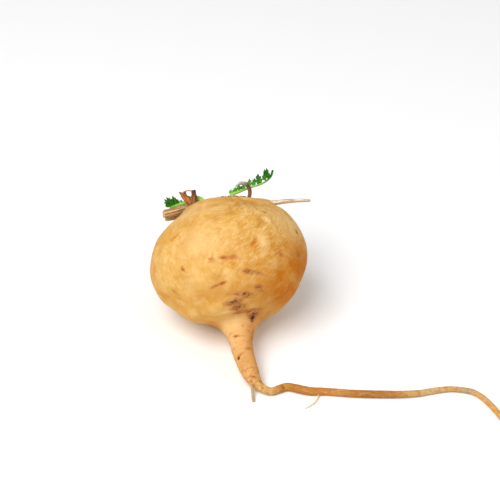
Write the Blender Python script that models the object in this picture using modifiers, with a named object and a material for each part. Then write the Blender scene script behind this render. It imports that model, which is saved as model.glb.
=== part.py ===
"""A maca root: the swollen body with its taproot and long tail, and the cut leaf crown on its upper back.

Metres, +Z up. The origin is on the flat spot that the root rests on. Looking along +Y, the taproot comes
towards the viewer, its tail runs off to the right, and the crown faces up and away.
Lengths below are written in millimetres, and MM turns them into metres where a mesh is made.
"""
import math
import random

import bmesh
import bpy
import numpy as np
from mathutils import Matrix, Vector, noise

MM = 0.001
WELD = 0.002 * MM
TOUCH_GAP = 0.35             # between a stalk and the tuft that it stands in
SEED = 11

# The body is a flattened ball. Its axis runs from the crown, down and forward, to the taproot's neck.
BODY_RADIUS = 25.0
BODY_HALF_LENGTH = 20.6
BODY_CENTRE = Vector((0.6, -4.0, 22.4))
AXIS_DIP = math.radians(36.5)
AXIS_TURN = math.radians(8.6)
BODY_SIDES = 40
FINE_RING = 1.15             # ring spacing on the crown and the taproot
WIDE_RING = 2.5              # ring spacing on the ball
BROAD_LUMP = 0.45            # height of the broad lumps in the skin
LUMP_SIZE = 15.0

AXIS = Vector((math.cos(AXIS_DIP) * math.sin(AXIS_TURN),
               -math.cos(AXIS_DIP) * math.cos(AXIS_TURN),
               -math.sin(AXIS_DIP)))
RIGHT = (Vector((1, 0, 0)) - AXIS.x * AXIS).normalized()
FRONT = AXIS.cross(RIGHT)

# (distance along the axis from the body's middle, radius): the crown's hollow and its rim.
HOLLOW = ((-14.0, 0.0), (-14.1, 3.0), (-14.4, 6.0), (-15.0, 8.8), (-16.2, 10.7), (-17.5, 11.7),
          (-18.2, 12.7), (-18.0, 13.9), (-17.1, 15.4))
BALL_FROM, BALL_TO, BALL_STEP = 44, 158, 6     # degrees round the flattened ball, from the crown's pole
NECK = ((20.7, 6.9), (22.2, 5.6), (24.0, 4.7), (26.0, 4.1), (27.7, 3.7), (29.6, 3.45), (32.0, 3.25),
        (34.4, 3.05), (36.6, 2.85), (38.6, 2.6), (40.2, 2.25), (41.9, 1.8), (43.4, 1.55), (44.9, 1.3),
        (46.2, 0.95), (47.0, 0.6))

# The taproot's centre line beyond the neck.
TAPROOT_ROUTE = ((3.5, -20.4, 10.4), (4.1, -24.0, 9.2), (4.8, -28.4, 8.2), (6.0, -32.2, 6.2),
                 (7.3, -35.5, 4.6), (8.7, -38.0, 3.2), (10.5, -39.8, 2.2), (13.8, -41.1, 1.35))

# Places where the body swells or sinks: distance along the axis, degrees from the right towards the
# front, reach and height.
SWELLS = ((-15.5, 20, 6.0, 1.3), (-17.5, 165, 7.0, -2.1), (-18.5, 62, 6.5, -1.6), (1.0, 0, 6.0, 0.4),
          (9.0, 350, 6.0, -0.6), (17.5, 322, 5.0, 1.4), (17.5, 215, 6.5, -1.9), (1.0, 190, 7.0, 0.4),
          (-7.0, 180, 6.0, -0.5), (-15.8, 45, 4.0, -0.9))

# (x, y, z, radius) along the tail, which lies on the surface.
TAIL_ROUTE = ((9.8, -39.3, 2.5, 1.15), (11.5, -40.5, 1.8, 1.25), (13.8, -41.1, 1.3, 1.22),
              (16.3, -40.0, 1.25, 1.2), (18.6, -39.0, 1.3, 1.23), (21.5, -39.7, 1.33, 1.28),
              (25.0, -40.8, 1.32, 1.27), (30.3, -41.0, 1.2, 1.15), (39.5, -41.9, 1.2, 1.15),
              (48.0, -42.2, 1.2, 1.13), (54.7, -42.1, 1.13, 1.08), (59.6, -41.5, 1.06, 1.0),
              (64.4, -40.3, 0.99, 0.94), (68.8, -39.6, 0.92, 0.87), (72.6, -40.0, 0.92, 0.87),
              (75.4, -40.8, 0.93, 0.88), (77.6, -42.6, 0.93, 0.88), (80.0, -46.0, 0.92, 0.87),
              (82.1, -50.1, 0.9, 0.85), (85.0, -57.0, 0.75, 0.7), (89.0, -63.5, 0.6, 0.55),
              (93.8, -69.0, 0.47, 0.42), (98.5, -73.5, 0.35, 0.3))
CUT_ROOTLET = ((8.0, -38.0, 2.9, 0.45), (8.1, -41.0, 2.0, 0.45), (8.3, -43.0, 1.0, 0.45),
               (8.5, -44.6, 0.5, 0.42))
HAIR_ROOTLET = ((28.4, -41.4, 0.8, 0.3), (28.1, -43.2, 0.55, 0.28), (27.1, -45.0, 0.35, 0.27),
                (25.9, -46.2, 0.32, 0.26), (24.2, -47.5, 0.28, 0.22))

# The crown's pieces are placed in its own frame: to the right, to the back, and outward from the body's
# middle. The last number of a point is the piece's radius there.
TUFT_UNDER = ((10.9, 17.2), (10.2, 16.45), (8.7, 15.45), (6.0, 14.8), (3.0, 14.5), (0.0, 14.4))
TUFT_TOP = ((0.0, 16.8), (3.0, 17.0), (6.0, 17.4), (8.6, 17.9), (10.3, 17.9))
BRACT_RINGS = (
    # how many, radius of the ring, lean from the axis in degrees, length, width
    (26, 9.6, 8, 4.5, 1.1),
    (17, 8.0, 34, 6.6, 1.7),
    (11, 5.6, 46, 7.4, 2.0),
    (6, 3.9, 30, 4.5, 1.5),
)
BRACT_FOOT = 16.6            # how far out from the body's middle the bracts start
BRACT_STEPS = ((0.0, 0), (0.38, -10), (0.34, 4), (0.28, 16))   # share of the length, degrees off the lean
BRACT_CEILING, CEILING_SLOPE = 21.4, 0.27    # the bracts' highest place, and its rise towards the back
CEILING_FALL = 0.0167        # how fast that place falls towards the left and the right
BRACT_THICKNESS = 0.7
BRACT_TAPER = 0.7            # a bract's foot and shoulder, against its widest place
PALE_BRACT = ((-5.6, 5.4, 17.0), (-4.3, 6.5, 19.0), (-2.2, 7.9, 20.8), (0.2, 9.2, 21.9))
PALE_BRACT_WIDTHS = (1.6, 3.4, 2.6)
PALE_BRACT_TURN = math.radians(29)
RIM_REACH = 10.5             # how far out a bract may stand while it is below the rim
RIM_TOP = 19.3
HEART_CENTRE = (1.0, -1.6, 17.3)
HEART_RADIUS, HEART_HEIGHT = 2.5, 1.9
HEART_SIDES, HEART_RINGS = 26, 14
GRAIN_SIZE, GRAIN_HEIGHT = 0.95, 0.35
BUD_BASE = (-1.4, -4.4, 16.4)
BUD_SIDES = 12
BUD_PROFILE = ((0.0, 3.0), (0.28, 2.6), (0.5, 1.9), (0.62, 1.1), (0.55, 0.4), (0.45, 0.0), (0.0, -0.1))

LEAF_RIGHT_ROUTE = ((-3.0, 3.0, 15.8, 0.62), (-1.2, 2.8, 18.6, 0.6), (1.2, 2.0, 20.8, 0.56),
                    (3.7, 1.2, 22.4, 0.52), (6.7, 1.2, 23.3, 0.48), (10.2, 1.5, 24.3, 0.45),
                    (13.8, 2.0, 25.2, 0.42), (16.0, 2.5, 26.5, 0.38), (17.5, 3.0, 28.0, 0.34),
                    (18.3, 3.0, 29.6, 0.32))
LEAF_LEFT_ROUTE = ((-2.8, 0.2, 15.8, 0.62), (-3.6, 0.6, 18.8, 0.6), (-4.8, 1.0, 21.2, 0.6),
                   (-6.6, 1.8, 22.6, 0.6), (-8.8, 2.5, 22.7, 0.58), (-11.3, 3.0, 22.0, 0.55),
                   (-13.9, 3.0, 21.3, 0.5), (-16.6, 3.0, 20.9, 0.42))
# A leaf's blade: share of the route where it begins, leaflets on a side, the longest one's length, the
# share of the blade where it stands, and how far each half is folded up.
LEAF_RIGHT_BLADE = (0.45, 6, 2.9, 0.6, math.radians(62))
LEAF_LEFT_BLADE = (0.70, 3, 3.0, 0.35, math.radians(48))
LEAF_THICKNESS = 0.6
LEAF_RIB = 0.3               # half the width of a blade where its leaflets are cut in to the rib
LEAF_STEP, LEAF_STALK_STEP = 0.1, 1.3
LEAFLET_LEAN = 0.55          # how far a leaflet leans towards the leaf's tip for each unit of its reach
# A leaflet's toothed edge: share of its stretch of the rib, share of its length.
LEAFLET_EDGE = ((0.0, 0.04), (0.16, 0.5), (0.26, 0.42), (0.4, 0.85), (0.47, 0.75), (0.55, 1.0), (0.66, 0.66),
                (0.74, 0.7), (0.85, 0.3), (1.0, 0.04))

DRY_STALKS = (
    ((-5.0, 0.6, 16.2, 0.9), (-7.2, 0.5, 18.9, 0.9), (-9.8, 0.4, 20.1, 0.92), (-12.6, 0.4, 20.0, 0.95),
     (-15.6, 0.4, 19.4, 0.95), (-18.4, 0.4, 18.8, 0.9)),
    ((-5.6, 5.2, 16.2, 0.8), (-7.2, 5.4, 18.8, 0.8), (-9.2, 5.5, 20.1, 0.8), (-11.4, 5.5, 20.3, 0.82),
     (-15.0, 5.5, 19.8, 0.82), (-18.5, 5.5, 19.3, 0.8)),
    ((-6.2, 6.8, 16.7, 0.72), (-8.6, 7.6, 18.8, 0.72), (-11.4, 8.2, 19.5, 0.74), (-14.6, 8.5, 19.2, 0.76),
     (-18.0, 8.5, 18.9, 0.72)),
    ((3.2, 7.2, 16.6, 0.85), (5.0, 9.2, 19.8, 0.85), (7.4, 11.6, 21.8, 0.88), (10.2, 14.2, 22.2, 0.84)),
    ((-1.8, 8.0, 16.7, 0.7), (-2.6, 10.4, 20.2, 0.7), (-3.4, 13.2, 22.0, 0.72)),
)
PALE_STALK = ((7.2, 1.6, 16.7, 0.55), (9.6, 1.7, 19.1, 0.58), (12.6, 1.9, 19.5, 0.6),
              (16.1, 2.1, 18.5, 0.58), (20.5, 3.0, 18.6, 0.52), (25.0, 4.0, 18.7, 0.42),
              (29.2, 5.0, 18.5, 0.34))
HOOKED_STALK = ((6.6, -2.0, 16.8, 0.4), (8.6, -2.2, 19.2, 0.4), (9.4, -2.2, 21.2, 0.4),
                (9.3, -2.2, 23.1, 0.42), (8.4, -2.2, 24.5, 0.42), (6.8, -2.2, 24.9, 0.42),
                (5.8, -2.2, 24.2, 0.4))
# The dry leaf base: right and outward places of its torn outline, which stands in one upright plane.
TATTER_OUTLINE = ((-9.4, 16.7), (-7.4, 16.7), (-7.5, 19.4), (-8.0, 21.4), (-7.6, 23.0), (-7.6, 24.5),
                  (-8.8, 24.4), (-9.1, 23.3), (-9.7, 22.6), (-10.8, 22.8), (-11.2, 23.8), (-10.9, 24.9),
                  (-13.4, 24.4), (-12.7, 23.2), (-12.1, 21.9), (-11.5, 20.8), (-10.7, 19.9), (-9.9, 19.2))
TATTER_BACK = -1.5
TATTER_THICKNESS = 0.7
TATTER_FOOT_TOP, TATTER_SOCKET_TOP = 19.3, 21.0


def clear_scene():
    for old in list(bpy.data.objects):
        bpy.data.objects.remove(old, do_unlink=True)


def new_collection(name):
    collection = bpy.data.collections.new(name)
    bpy.context.scene.collection.children.link(collection)
    return collection


def make_material(name, colour, roughness):
    material = bpy.data.materials.new(name)
    material.use_nodes = True
    shader = material.node_tree.nodes["Principled BSDF"]
    shader.inputs["Base Color"].default_value = (*colour, 1.0)
    shader.inputs["Roughness"].default_value = roughness
    shader.inputs["Metallic"].default_value = 0.0
    return material


def smooth_curve(points, spacing):
    """Evenly spaced points on the smooth curve through the given points, which may have any dimension."""
    points = np.array(points, float)
    knots = np.concatenate([[0.0], np.cumsum(np.linalg.norm(np.diff(points, axis=0), axis=1))])
    slopes = np.gradient(points, knots, axis=0)
    places = np.linspace(0.0, knots[-1], max(2, round(knots[-1] / spacing) + 1))
    cell = np.clip(np.searchsorted(knots, places, side="right") - 1, 0, len(knots) - 2)
    span = (knots[cell + 1] - knots[cell])[:, None]
    t = (places - knots[cell])[:, None] / span
    return ((2 * t**3 - 3 * t**2 + 1) * points[cell] + (t**3 - 2 * t**2 + t) * span * slopes[cell]
            + (3 * t**2 - 2 * t**3) * points[cell + 1] + (t**3 - t**2) * span * slopes[cell + 1])


def new_object(name, mesh, collection, parent=None):
    piece = bpy.data.objects.new(name, mesh)
    piece.parent = parent
    collection.objects.link(piece)
    return piece


def mesh_from(bm, name):
    """A mesh in metres from a bmesh in millimetres, with its faces turned outward."""
    bmesh.ops.triangulate(bm, faces=bm.faces)
    bmesh.ops.recalc_face_normals(bm, faces=bm.faces)
    bmesh.ops.scale(bm, vec=(MM, MM, MM), verts=bm.verts)
    mesh = bpy.data.meshes.new(name)
    bm.to_mesh(mesh)
    bm.free()
    return mesh


def evaluated_mesh(piece):
    """The piece's mesh with its modifiers, or its curve's bevel, worked out."""
    bpy.context.view_layer.update()
    depsgraph = bpy.context.evaluated_depsgraph_get()
    return bpy.data.meshes.new_from_object(piece.evaluated_get(depsgraph))


def weld(mesh):
    bm = bmesh.new()
    bm.from_mesh(mesh)
    bmesh.ops.remove_doubles(bm, verts=bm.verts, dist=WELD)
    bmesh.ops.triangulate(bm, faces=bm.faces)
    bm.to_mesh(mesh)
    bm.free()
    return mesh


def tube(name, route, spacing, collection, parent=None, grow=0.0, resolution=2):
    """A round rod along a smooth route of (x, y, z, radius) points, as a mesh object."""
    points = smooth_curve(route, spacing)
    curve = bpy.data.curves.new(name, "CURVE")
    curve.dimensions = "3D"
    curve.bevel_depth = MM
    curve.bevel_resolution = resolution
    curve.use_fill_caps = True
    spline = curve.splines.new("POLY")
    spline.points.add(len(points) - 1)
    if grow:
        back = points[0, :3] - points[1, :3]
        points[0, :3] += grow * back / np.linalg.norm(back)
    for target, (x, y, z, radius) in zip(spline.points, points):
        target.co = (x * MM, y * MM, z * MM, 1.0)
        target.radius = radius + grow
    guide = new_object(name + "_guide", curve, collection, parent=parent)
    mesh = weld(evaluated_mesh(guide))
    bpy.data.objects.remove(guide)
    bpy.data.curves.remove(curve)
    return new_object(name, mesh, collection, parent=parent)


def boolean(target, others, operation, solver="EXACT"):
    """Joins or cuts the target with the other objects, which are then removed."""
    tools = new_collection(target.name + "_tools")
    for other in others:
        for home in list(other.users_collection):
            home.objects.unlink(other)
        tools.objects.link(other)
        other.hide_render = True
        other.display_type = "WIRE"
    modifier = target.modifiers.new(operation.lower(), "BOOLEAN")
    modifier.operation = operation
    modifier.solver = solver
    modifier.operand_type = "COLLECTION"
    modifier.collection = tools
    mesh = evaluated_mesh(target)
    target.modifiers.clear()
    target.data = mesh
    for other in others:
        bpy.data.objects.remove(other)
    bpy.data.collections.remove(tools)


def keep_largest(piece):
    """Drops the loose scraps that a cut leaves."""
    bm = bmesh.new()
    bm.from_mesh(piece.data)
    unseen = set(bm.verts)
    islands = []
    while unseen:
        island = [unseen.pop()]
        for vert in island:
            for edge in vert.link_edges:
                other = edge.other_vert(vert)
                if other in unseen:
                    unseen.remove(other)
                    island.append(other)
        islands.append(island)
    islands.sort(key=len)
    for island in islands[:-1]:
        bmesh.ops.delete(bm, geom=island, context="VERTS")
    bm.to_mesh(piece.data)
    bm.free()


def finish(piece, name, material, collection, sharp_degrees=50):
    """Names the piece, gives it its material and smooth shading, and puts it with the finished parts."""
    piece.name = name
    piece.data.name = name
    piece.data.materials.clear()
    piece.data.materials.append(material)
    piece.data.polygons.foreach_set("material_index", [0] * len(piece.data.polygons))
    piece.data.shade_smooth()
    piece.data.set_sharp_from_angle(angle=math.radians(sharp_degrees))
    for home in list(piece.users_collection):
        home.objects.unlink(piece)
    collection.objects.link(piece)


def spine():
    """The centre line: distances along it from the body's middle, its points, and the frame it carries."""
    straight = [BODY_CENTRE + k * AXIS for k in (-20.0, -10.0, 0.0, 10.0, 16.0)]
    points = smooth_curve([tuple(p) for p in straight] + list(TAPROOT_ROUTE), 0.25)
    distance = np.concatenate([[0.0], np.cumsum(np.linalg.norm(np.diff(points, axis=0), axis=1))]) - 20.0
    tangents = np.gradient(points, distance, axis=0)
    side = RIGHT.copy()
    sides = []
    for tangent in tangents:
        ahead = Vector(tangent).normalized()
        side = (side - side.dot(ahead) * ahead).normalized()
        sides.append(tuple(side))
    ups = [tuple(Vector(t).normalized().cross(Vector(s))) for t, s in zip(tangents, sides)]
    return distance, points, np.array(sides), np.array(ups)


def profile_rings():
    """(distance along the spine, radius) for each ring, close together where the root is slender."""
    ball = [(-BODY_HALF_LENGTH * math.cos(math.radians(a)), BODY_RADIUS * math.sin(math.radians(a)))
            for a in range(BALL_FROM, BALL_TO + 1, BALL_STEP)]
    dense = smooth_curve(list(HOLLOW) + ball + list(NECK), 0.1)
    steps = np.linalg.norm(np.diff(dense, axis=0), axis=1)
    spacing = np.interp(dense[1:, 1], (11.0, 20.0), (FINE_RING, WIDE_RING))
    count = np.concatenate([[0.0], np.cumsum(steps / spacing)])
    levels = np.linspace(0.0, count[-1], round(count[-1]) + 1)
    return np.column_stack([np.interp(levels, count, dense[:, k]) for k in (0, 1)])


def skin_point(line, along, radius, angle):
    """A place on the plain turned skin, with the directions straight out and ahead along the centre line."""
    distance, points, sides, ups = line
    middle, side, up = [Vector([np.interp(along, distance, values[:, k]) for k in range(3)])
                        for values in (points, sides, ups)]
    out = (math.cos(angle) * side + math.sin(angle) * up).normalized()
    return middle + float(radius) * out, out, side.cross(up).normalized()


def swell_centres(line, rings):
    outer = rings[np.argmax(rings[:, 1] > 12.0):]
    return [(skin_point(line, along, np.interp(along, outer[:, 0], outer[:, 1]), math.radians(degrees))[0],
             reach, height) for along, degrees, reach, height in SWELLS]


def relief(place, radius, swells):
    """How far the skin stands out from the turned shape: broad lumps, and the swells above."""
    lumps = BROAD_LUMP * noise.noise(place / LUMP_SIZE) * min(1.0, radius / 12.0)
    return lumps + sum(height * math.exp(-0.5 * ((place - centre).length / reach) ** 2)
                       for centre, reach, height in swells)


def loft(rings):
    """A closed bmesh through rings of points, each end drawn in to the middle of its ring."""
    bm = bmesh.new()
    loops = [[bm.verts.new(p) for p in ring] for ring in rings]
    count = len(loops[0])
    for near, far in zip(loops, loops[1:]):
        for k in range(count):
            bm.faces.new((near[k], near[(k + 1) % count], far[(k + 1) % count], far[k]))
    for loop in (loops[0], loops[-1]):
        pole = bm.verts.new(sum((v.co for v in loop), Vector()) / count)
        for k in range(count):
            bm.faces.new((loop[k], loop[(k + 1) % count], pole))
    return bm


def root_body(collection):
    """The hypocotyl and its taproot, with the crown's hollow, as one skin."""
    line = spine()
    rings = profile_rings()
    swells = swell_centres(line, rings)
    slopes = np.gradient(rings, axis=0)
    rim = int(np.argmin(rings[:, 0]))
    skin = []
    for index, (along, radius) in enumerate(rings[1:].tolist(), start=1):
        fade = min(1.0, max(0.0, (index - rim + 2) / 4.0))
        step_along, step_out = (slopes[index] / np.linalg.norm(slopes[index])).tolist()
        ring = []
        for k in range(BODY_SIDES):
            place, out, ahead = skin_point(line, along, radius, 2.0 * math.pi * k / BODY_SIDES)
            outward = step_along * out - step_out * ahead
            ring.append(place + fade * relief(place, radius, swells) * outward)
        skin.append(ring)
    return new_object("body", mesh_from(loft(skin), "body"), collection)


def resting_cutter(collection):
    """A slab whose top is the surface that the root rests on."""
    bm = bmesh.new()
    place = Matrix.Translation((0, 0, -10)) @ Matrix.Diagonal((80, 60, 20, 1))
    bmesh.ops.create_cube(bm, size=1.0, matrix=place)
    return new_object("resting_surface", mesh_from(bm, "resting_surface"), collection)


def build_root(work, parts, material):
    root = root_body(work)
    tail = tube("tail", TAIL_ROUTE, 2.6, work, resolution=3)
    rootlets = [tube("cut_rootlet", CUT_ROOTLET, 1.4, work, resolution=1),
                tube("hair_rootlet", HAIR_ROOTLET, 1.4, work, resolution=1)]
    boolean(root, [resting_cutter(work)], "DIFFERENCE")
    boolean(root, [tail] + rootlets, "UNION")
    finish(root, "root", material, parts)


def crown_frame(collection):
    """An empty in the body's middle: X to the right, Y to the back, Z out through the crown."""
    frame = bpy.data.objects.new("crown_frame", None)
    collection.objects.link(frame)
    turn = Matrix((RIGHT, -FRONT, -AXIS)).transposed().to_4x4()
    frame.matrix_world = Matrix.Translation(BODY_CENTRE * MM) @ turn
    return frame


def turned(name, profile, steps, collection, parent):
    """A profile of (radius, height) points, listed down its outer side from top to bottom, turned once."""
    mesh = bpy.data.meshes.new(name)
    edges = [(k, k + 1) for k in range(len(profile) - 1)]
    mesh.from_pydata([(r * MM, 0, h * MM) for r, h in profile], edges, [])
    guide = new_object(name + "_guide", mesh, collection, parent=parent)
    screw = guide.modifiers.new("turn", "SCREW")
    screw.steps = steps
    screw.render_steps = steps
    screw.use_merge_vertices = True
    screw.merge_threshold = WELD
    piece = new_object(name, weld(evaluated_mesh(guide)), collection, parent=parent)
    bpy.data.objects.remove(guide)
    return piece


def blade(name, path, widths, thickness, turn, collection, parent):
    """A slim pointed blade along a path of places, four-sided, as wide as widths says at all but its tip."""
    path = [Vector(p) for p in path]
    away = Vector((path[0].x, path[0].y, 0)).normalized() + Vector((0, 0, 0.05))
    bm = bmesh.new()
    loops = []
    for k, width in enumerate(widths):
        ahead = (path[k + 1] - path[max(0, k - 1)]).normalized()
        across = Matrix.Rotation(turn, 3, ahead) @ ahead.cross(away).normalized()
        out = ahead.cross(across)
        corners = (across * width / 2, out * thickness / 2, across * -width / 2, out * -thickness / 2)
        loops.append([bm.verts.new(path[k] + corner) for corner in corners])
    for near, far in zip(loops, loops[1:]):
        for k in range(4):
            bm.faces.new((near[k], near[(k + 1) % 4], far[(k + 1) % 4], far[k]))
    tip = bm.verts.new(path[len(widths)])
    for k in range(4):
        bm.faces.new((loops[-1][k], loops[-1][(k + 1) % 4], tip))
    bm.faces.new(loops[0])
    return new_object(name, mesh_from(bm, name), collection, parent=parent)


def ceiling(x, y):
    """How high a bract may reach at this place, so that the rim hides it from the front."""
    return BRACT_CEILING + CEILING_SLOPE * y - CEILING_FALL * (x - 1.0)**2


def bract_path(angle, ring_radius, lean, length):
    """Four places along a bract that leaves the bed, leans out and bends over, kept clear of the rim."""
    out = Vector((math.cos(angle), math.sin(angle), 0))
    place = ring_radius * out + Vector((0, 0, BRACT_FOOT))
    path = []
    for step, bend in BRACT_STEPS:
        tilt = math.radians(lean + bend)
        place = place + length * step * (math.sin(tilt) * out + Vector((0, 0, math.cos(tilt))))
        place.z = min(place.z, ceiling(place.x, place.y))
        flat = math.hypot(place.x, place.y)
        if place.z < RIM_TOP and flat > RIM_REACH:
            place = Vector((place.x * RIM_REACH / flat, place.y * RIM_REACH / flat, place.z))
        path.append(place)
    return path


def tuft_bracts(collection, parent):
    """The dry leaf bases, in rings from the rim to the heart."""
    draw = random.Random(SEED)
    bracts = []
    for count, ring_radius, lean, length, width in BRACT_RINGS:
        for k in range(count):
            angle = 2 * math.pi * (k + draw.uniform(-0.3, 0.3)) / count
            path = bract_path(angle, ring_radius + draw.uniform(-0.4, 0.4), lean + draw.uniform(-9, 9),
                              length * draw.uniform(0.75, 1.15))
            broad = width * draw.uniform(0.8, 1.15)
            turn = math.radians(draw.uniform(-25, 25))
            widths = (BRACT_TAPER * broad, broad, BRACT_TAPER * broad)
            name = f"bract_{len(bracts)}"
            bracts.append(blade(name, path, widths, BRACT_THICKNESS, turn, collection, parent))
    bracts.append(blade("pale_bract", PALE_BRACT, PALE_BRACT_WIDTHS, BRACT_THICKNESS, PALE_BRACT_TURN,
                        collection, parent))
    return bracts


def heart_mesh(name, grow, grains):
    """A low dome, with a grain raised round each cell of its skin when grains is set."""
    bm = bmesh.new()
    bmesh.ops.create_uvsphere(bm, u_segments=HEART_SIDES, v_segments=HEART_RINGS, radius=1.0)
    for vert in bm.verts:
        lift = 0.0
        if grains:
            # A grain is highest in its middle, and the skin sinks between one grain and the next.
            off_middle = noise.voronoi(vert.co * HEART_RADIUS / GRAIN_SIZE)[0][0]
            lift = GRAIN_HEIGHT * max(-0.6, 0.45 - off_middle)
        vert.co = Vector((vert.co.x * (HEART_RADIUS + grow + lift), vert.co.y * (HEART_RADIUS + grow + lift),
                          vert.co.z * (HEART_HEIGHT + grow + lift))) + Vector(HEART_CENTRE)
    return mesh_from(bm, name)


def bud(name, grow, collection, parent):
    """A small pointed leaf bud."""
    profile = [(radius + grow if radius else 0.0, height + grow * (1 if height > 1 else -1))
               for radius, height in BUD_PROFILE]
    piece = turned(name, profile, BUD_SIDES, collection, parent)
    piece.data.transform(Matrix.Translation(Vector(BUD_BASE) * MM))
    return piece


def leaf_margin(share, count, longest, fullest):
    """How far the toothed leaflets reach from their rib at a share of the leafy stretch."""
    place = share * count
    number = min(count - 1, int(place))
    level = np.interp(place - number, [u for u, w in LEAFLET_EDGE], [w for u, w in LEAFLET_EDGE])
    return float(longest * level * max(0.3, 1.0 - 1.4 * (share - fullest)**2))


def build_leaf(name, route, shape, material, work, parts, parent):
    """A leaf in one loft: a six-sided stalk that opens into two toothed halves, folded upward."""
    leafy_from, count, longest, fullest, fold = shape
    points = smooth_curve(route, LEAF_STEP)
    length = (len(points) - 1) * LEAF_STEP
    start = leafy_from * length
    stalk = list(np.arange(0.0, start - LEAF_STALK_STEP / 2, LEAF_STALK_STEP))
    cuts = [start + (length - start) * (number + u) / count
            for number in range(count) for u, w in LEAFLET_EDGE[:-1]]
    sections = []
    for place in stalk + cuts + [length]:
        index = min(len(points) - 2, int(place / length * (len(points) - 1)))
        rib = Vector(points[index][:3])
        ahead = (Vector(points[index + 1][:3]) - Vector(points[max(0, index - 1)][:3])).normalized()
        level = ahead.cross(Vector((0, 0, 1))).normalized()
        raised = level.cross(ahead)
        radius = float(points[index][3])
        share = max(0.0, (place - start) / (length - start))
        section = [rib + radius * raised, rib - radius * raised]
        halves = []
        for side in (-1, 1):
            if place < start:
                # The corners of a hexagon, whose other two are above and below.
                out, reach = level * side, math.cos(math.radians(30)) * radius
                thick, half = raised, math.sin(math.radians(30)) * radius
            else:
                reach = LEAF_RIB + leaf_margin(share, count, longest, fullest)
                out = level * side * math.cos(fold) + raised * math.sin(fold) + LEAFLET_LEAN * ahead
                thick = raised * math.cos(fold) - level * side * math.sin(fold)
                half = LEAF_THICKNESS / 2
            halves.append((rib + reach * out + half * thick, rib + reach * out - half * thick))
        (left_high, left_low), (right_high, right_low) = halves
        sections.append((section[0], right_high, right_low, section[1], left_low, left_high))
    piece = new_object(name, mesh_from(loft(sections), name), work, parent=parent)
    finish(piece, name, material, parts, 30)


def build_tatter(material, work, parts, parent):
    """A torn dry leaf base: two upright arms on one foot, with a window between them."""
    bm = bmesh.new()
    face = bm.faces.new([bm.verts.new((x, TATTER_BACK - TATTER_THICKNESS / 2, h)) for x, h in TATTER_OUTLINE])
    swept = bmesh.ops.extrude_face_region(bm, geom=[face])
    raised = [item for item in swept["geom"] if isinstance(item, bmesh.types.BMVert)]
    bmesh.ops.translate(bm, verts=raised, vec=(0, TATTER_THICKNESS, 0))
    piece = new_object("dry_leaf_tatter", mesh_from(bm, "dry_leaf_tatter"), work, parent=parent)
    finish(piece, "dry_leaf_tatter", material, parts, 30)


def tatter_socket(collection, parent):
    foot = [p for p in TATTER_OUTLINE if p[1] < TATTER_FOOT_TOP]
    low = Vector((min(p[0] for p in foot), TATTER_BACK - TATTER_THICKNESS / 2, min(p[1] for p in foot)))
    high = Vector((max(p[0] for p in foot), TATTER_BACK + TATTER_THICKNESS / 2, TATTER_SOCKET_TOP))
    low -= Vector((TOUCH_GAP, TOUCH_GAP, TOUCH_GAP))
    high += Vector((TOUCH_GAP, TOUCH_GAP, 0))
    bm = bmesh.new()
    bmesh.ops.create_cube(bm, size=1.0)
    for vert in bm.verts:
        vert.co = Vector([low[k] if vert.co[k] < 0 else high[k] for k in range(3)])
    return new_object("tatter_socket", mesh_from(bm, "tatter_socket"), collection, parent=parent)


def build_tuft(routes, material, work, parts, parent):
    """The bed and its dry bracts, with a socket for each stalk, leaf and bud that stands in it."""
    core = turned("tuft_core", TUFT_TOP + TUFT_UNDER, 30, work, parent)
    boolean(core, tuft_bracts(work, parent), "UNION", "MANIFOLD")
    sockets = [tube(f"socket_{k}", route, 1.5, work, parent=parent, grow=TOUCH_GAP)
               for k, route in enumerate(routes)]
    sockets.append(tatter_socket(work, parent))
    sockets.append(bud("bud_socket", TOUCH_GAP, work, parent))
    hollow = heart_mesh("heart_socket", TOUCH_GAP + GRAIN_HEIGHT / 3, False)
    sockets.append(new_object("heart_socket", hollow, work, parent=parent))
    boolean(core, sockets, "DIFFERENCE", "MANIFOLD")
    keep_largest(core)
    finish(core, "crown_tuft", material, parts, 30)


def main():
    clear_scene()
    parts = new_collection("maca_root")
    work = new_collection("guides")
    skin = make_material("skin", (0.83, 0.55, 0.24), 0.55)
    dry = make_material("dry_bract", (0.30, 0.21, 0.13), 0.85)
    straw = make_material("dry_stalk", (0.52, 0.36, 0.20), 0.8)
    pale = make_material("pale_stalk", (0.74, 0.64, 0.50), 0.75)
    brown = make_material("dark_stalk", (0.20, 0.11, 0.06), 0.8)
    green = make_material("leaf", (0.08, 0.27, 0.03), 0.5)
    mustard = make_material("heart", (0.55, 0.38, 0.05), 0.75)
    lime = make_material("bud", (0.42, 0.60, 0.08), 0.5)

    build_root(work, parts, skin)
    crown = crown_frame(parts)
    stalks = {f"dry_stalk_{k + 1}": (route, straw) for k, route in enumerate(DRY_STALKS)}
    stalks["pale_stalk"] = (PALE_STALK, pale)
    stalks["hooked_stalk"] = (HOOKED_STALK, brown)
    for name, (route, material) in stalks.items():
        finish(tube(name, route, 1.3, work, parent=crown), name, material, parts)
    build_leaf("leaf_right", LEAF_RIGHT_ROUTE, LEAF_RIGHT_BLADE, green, work, parts, crown)
    build_leaf("leaf_left", LEAF_LEFT_ROUTE, LEAF_LEFT_BLADE, green, work, parts, crown)
    build_tatter(brown, work, parts, crown)
    heart = new_object("crown_heart", heart_mesh("crown_heart", 0.0, True), work, parent=crown)
    finish(heart, "crown_heart", mustard, parts)
    finish(bud("leaf_bud", 0.0, work, crown), "leaf_bud", lime, parts)
    routes = [route for route, material in stalks.values()] + [LEAF_RIGHT_ROUTE, LEAF_LEFT_ROUTE]
    build_tuft(routes, dry, work, parts, crown)


main()
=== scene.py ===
"""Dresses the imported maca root: finer pieces in place of its CAD nodes, their materials, light and camera.

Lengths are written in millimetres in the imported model's own frame. MM turns them into metres where a mesh is
made. The root's measures repeat those of its solids, so that each finer piece stays where its node is.
"""
import math
import random

import bmesh
import bpy
import numpy as np
from mathutils import Euler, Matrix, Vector, noise


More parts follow.
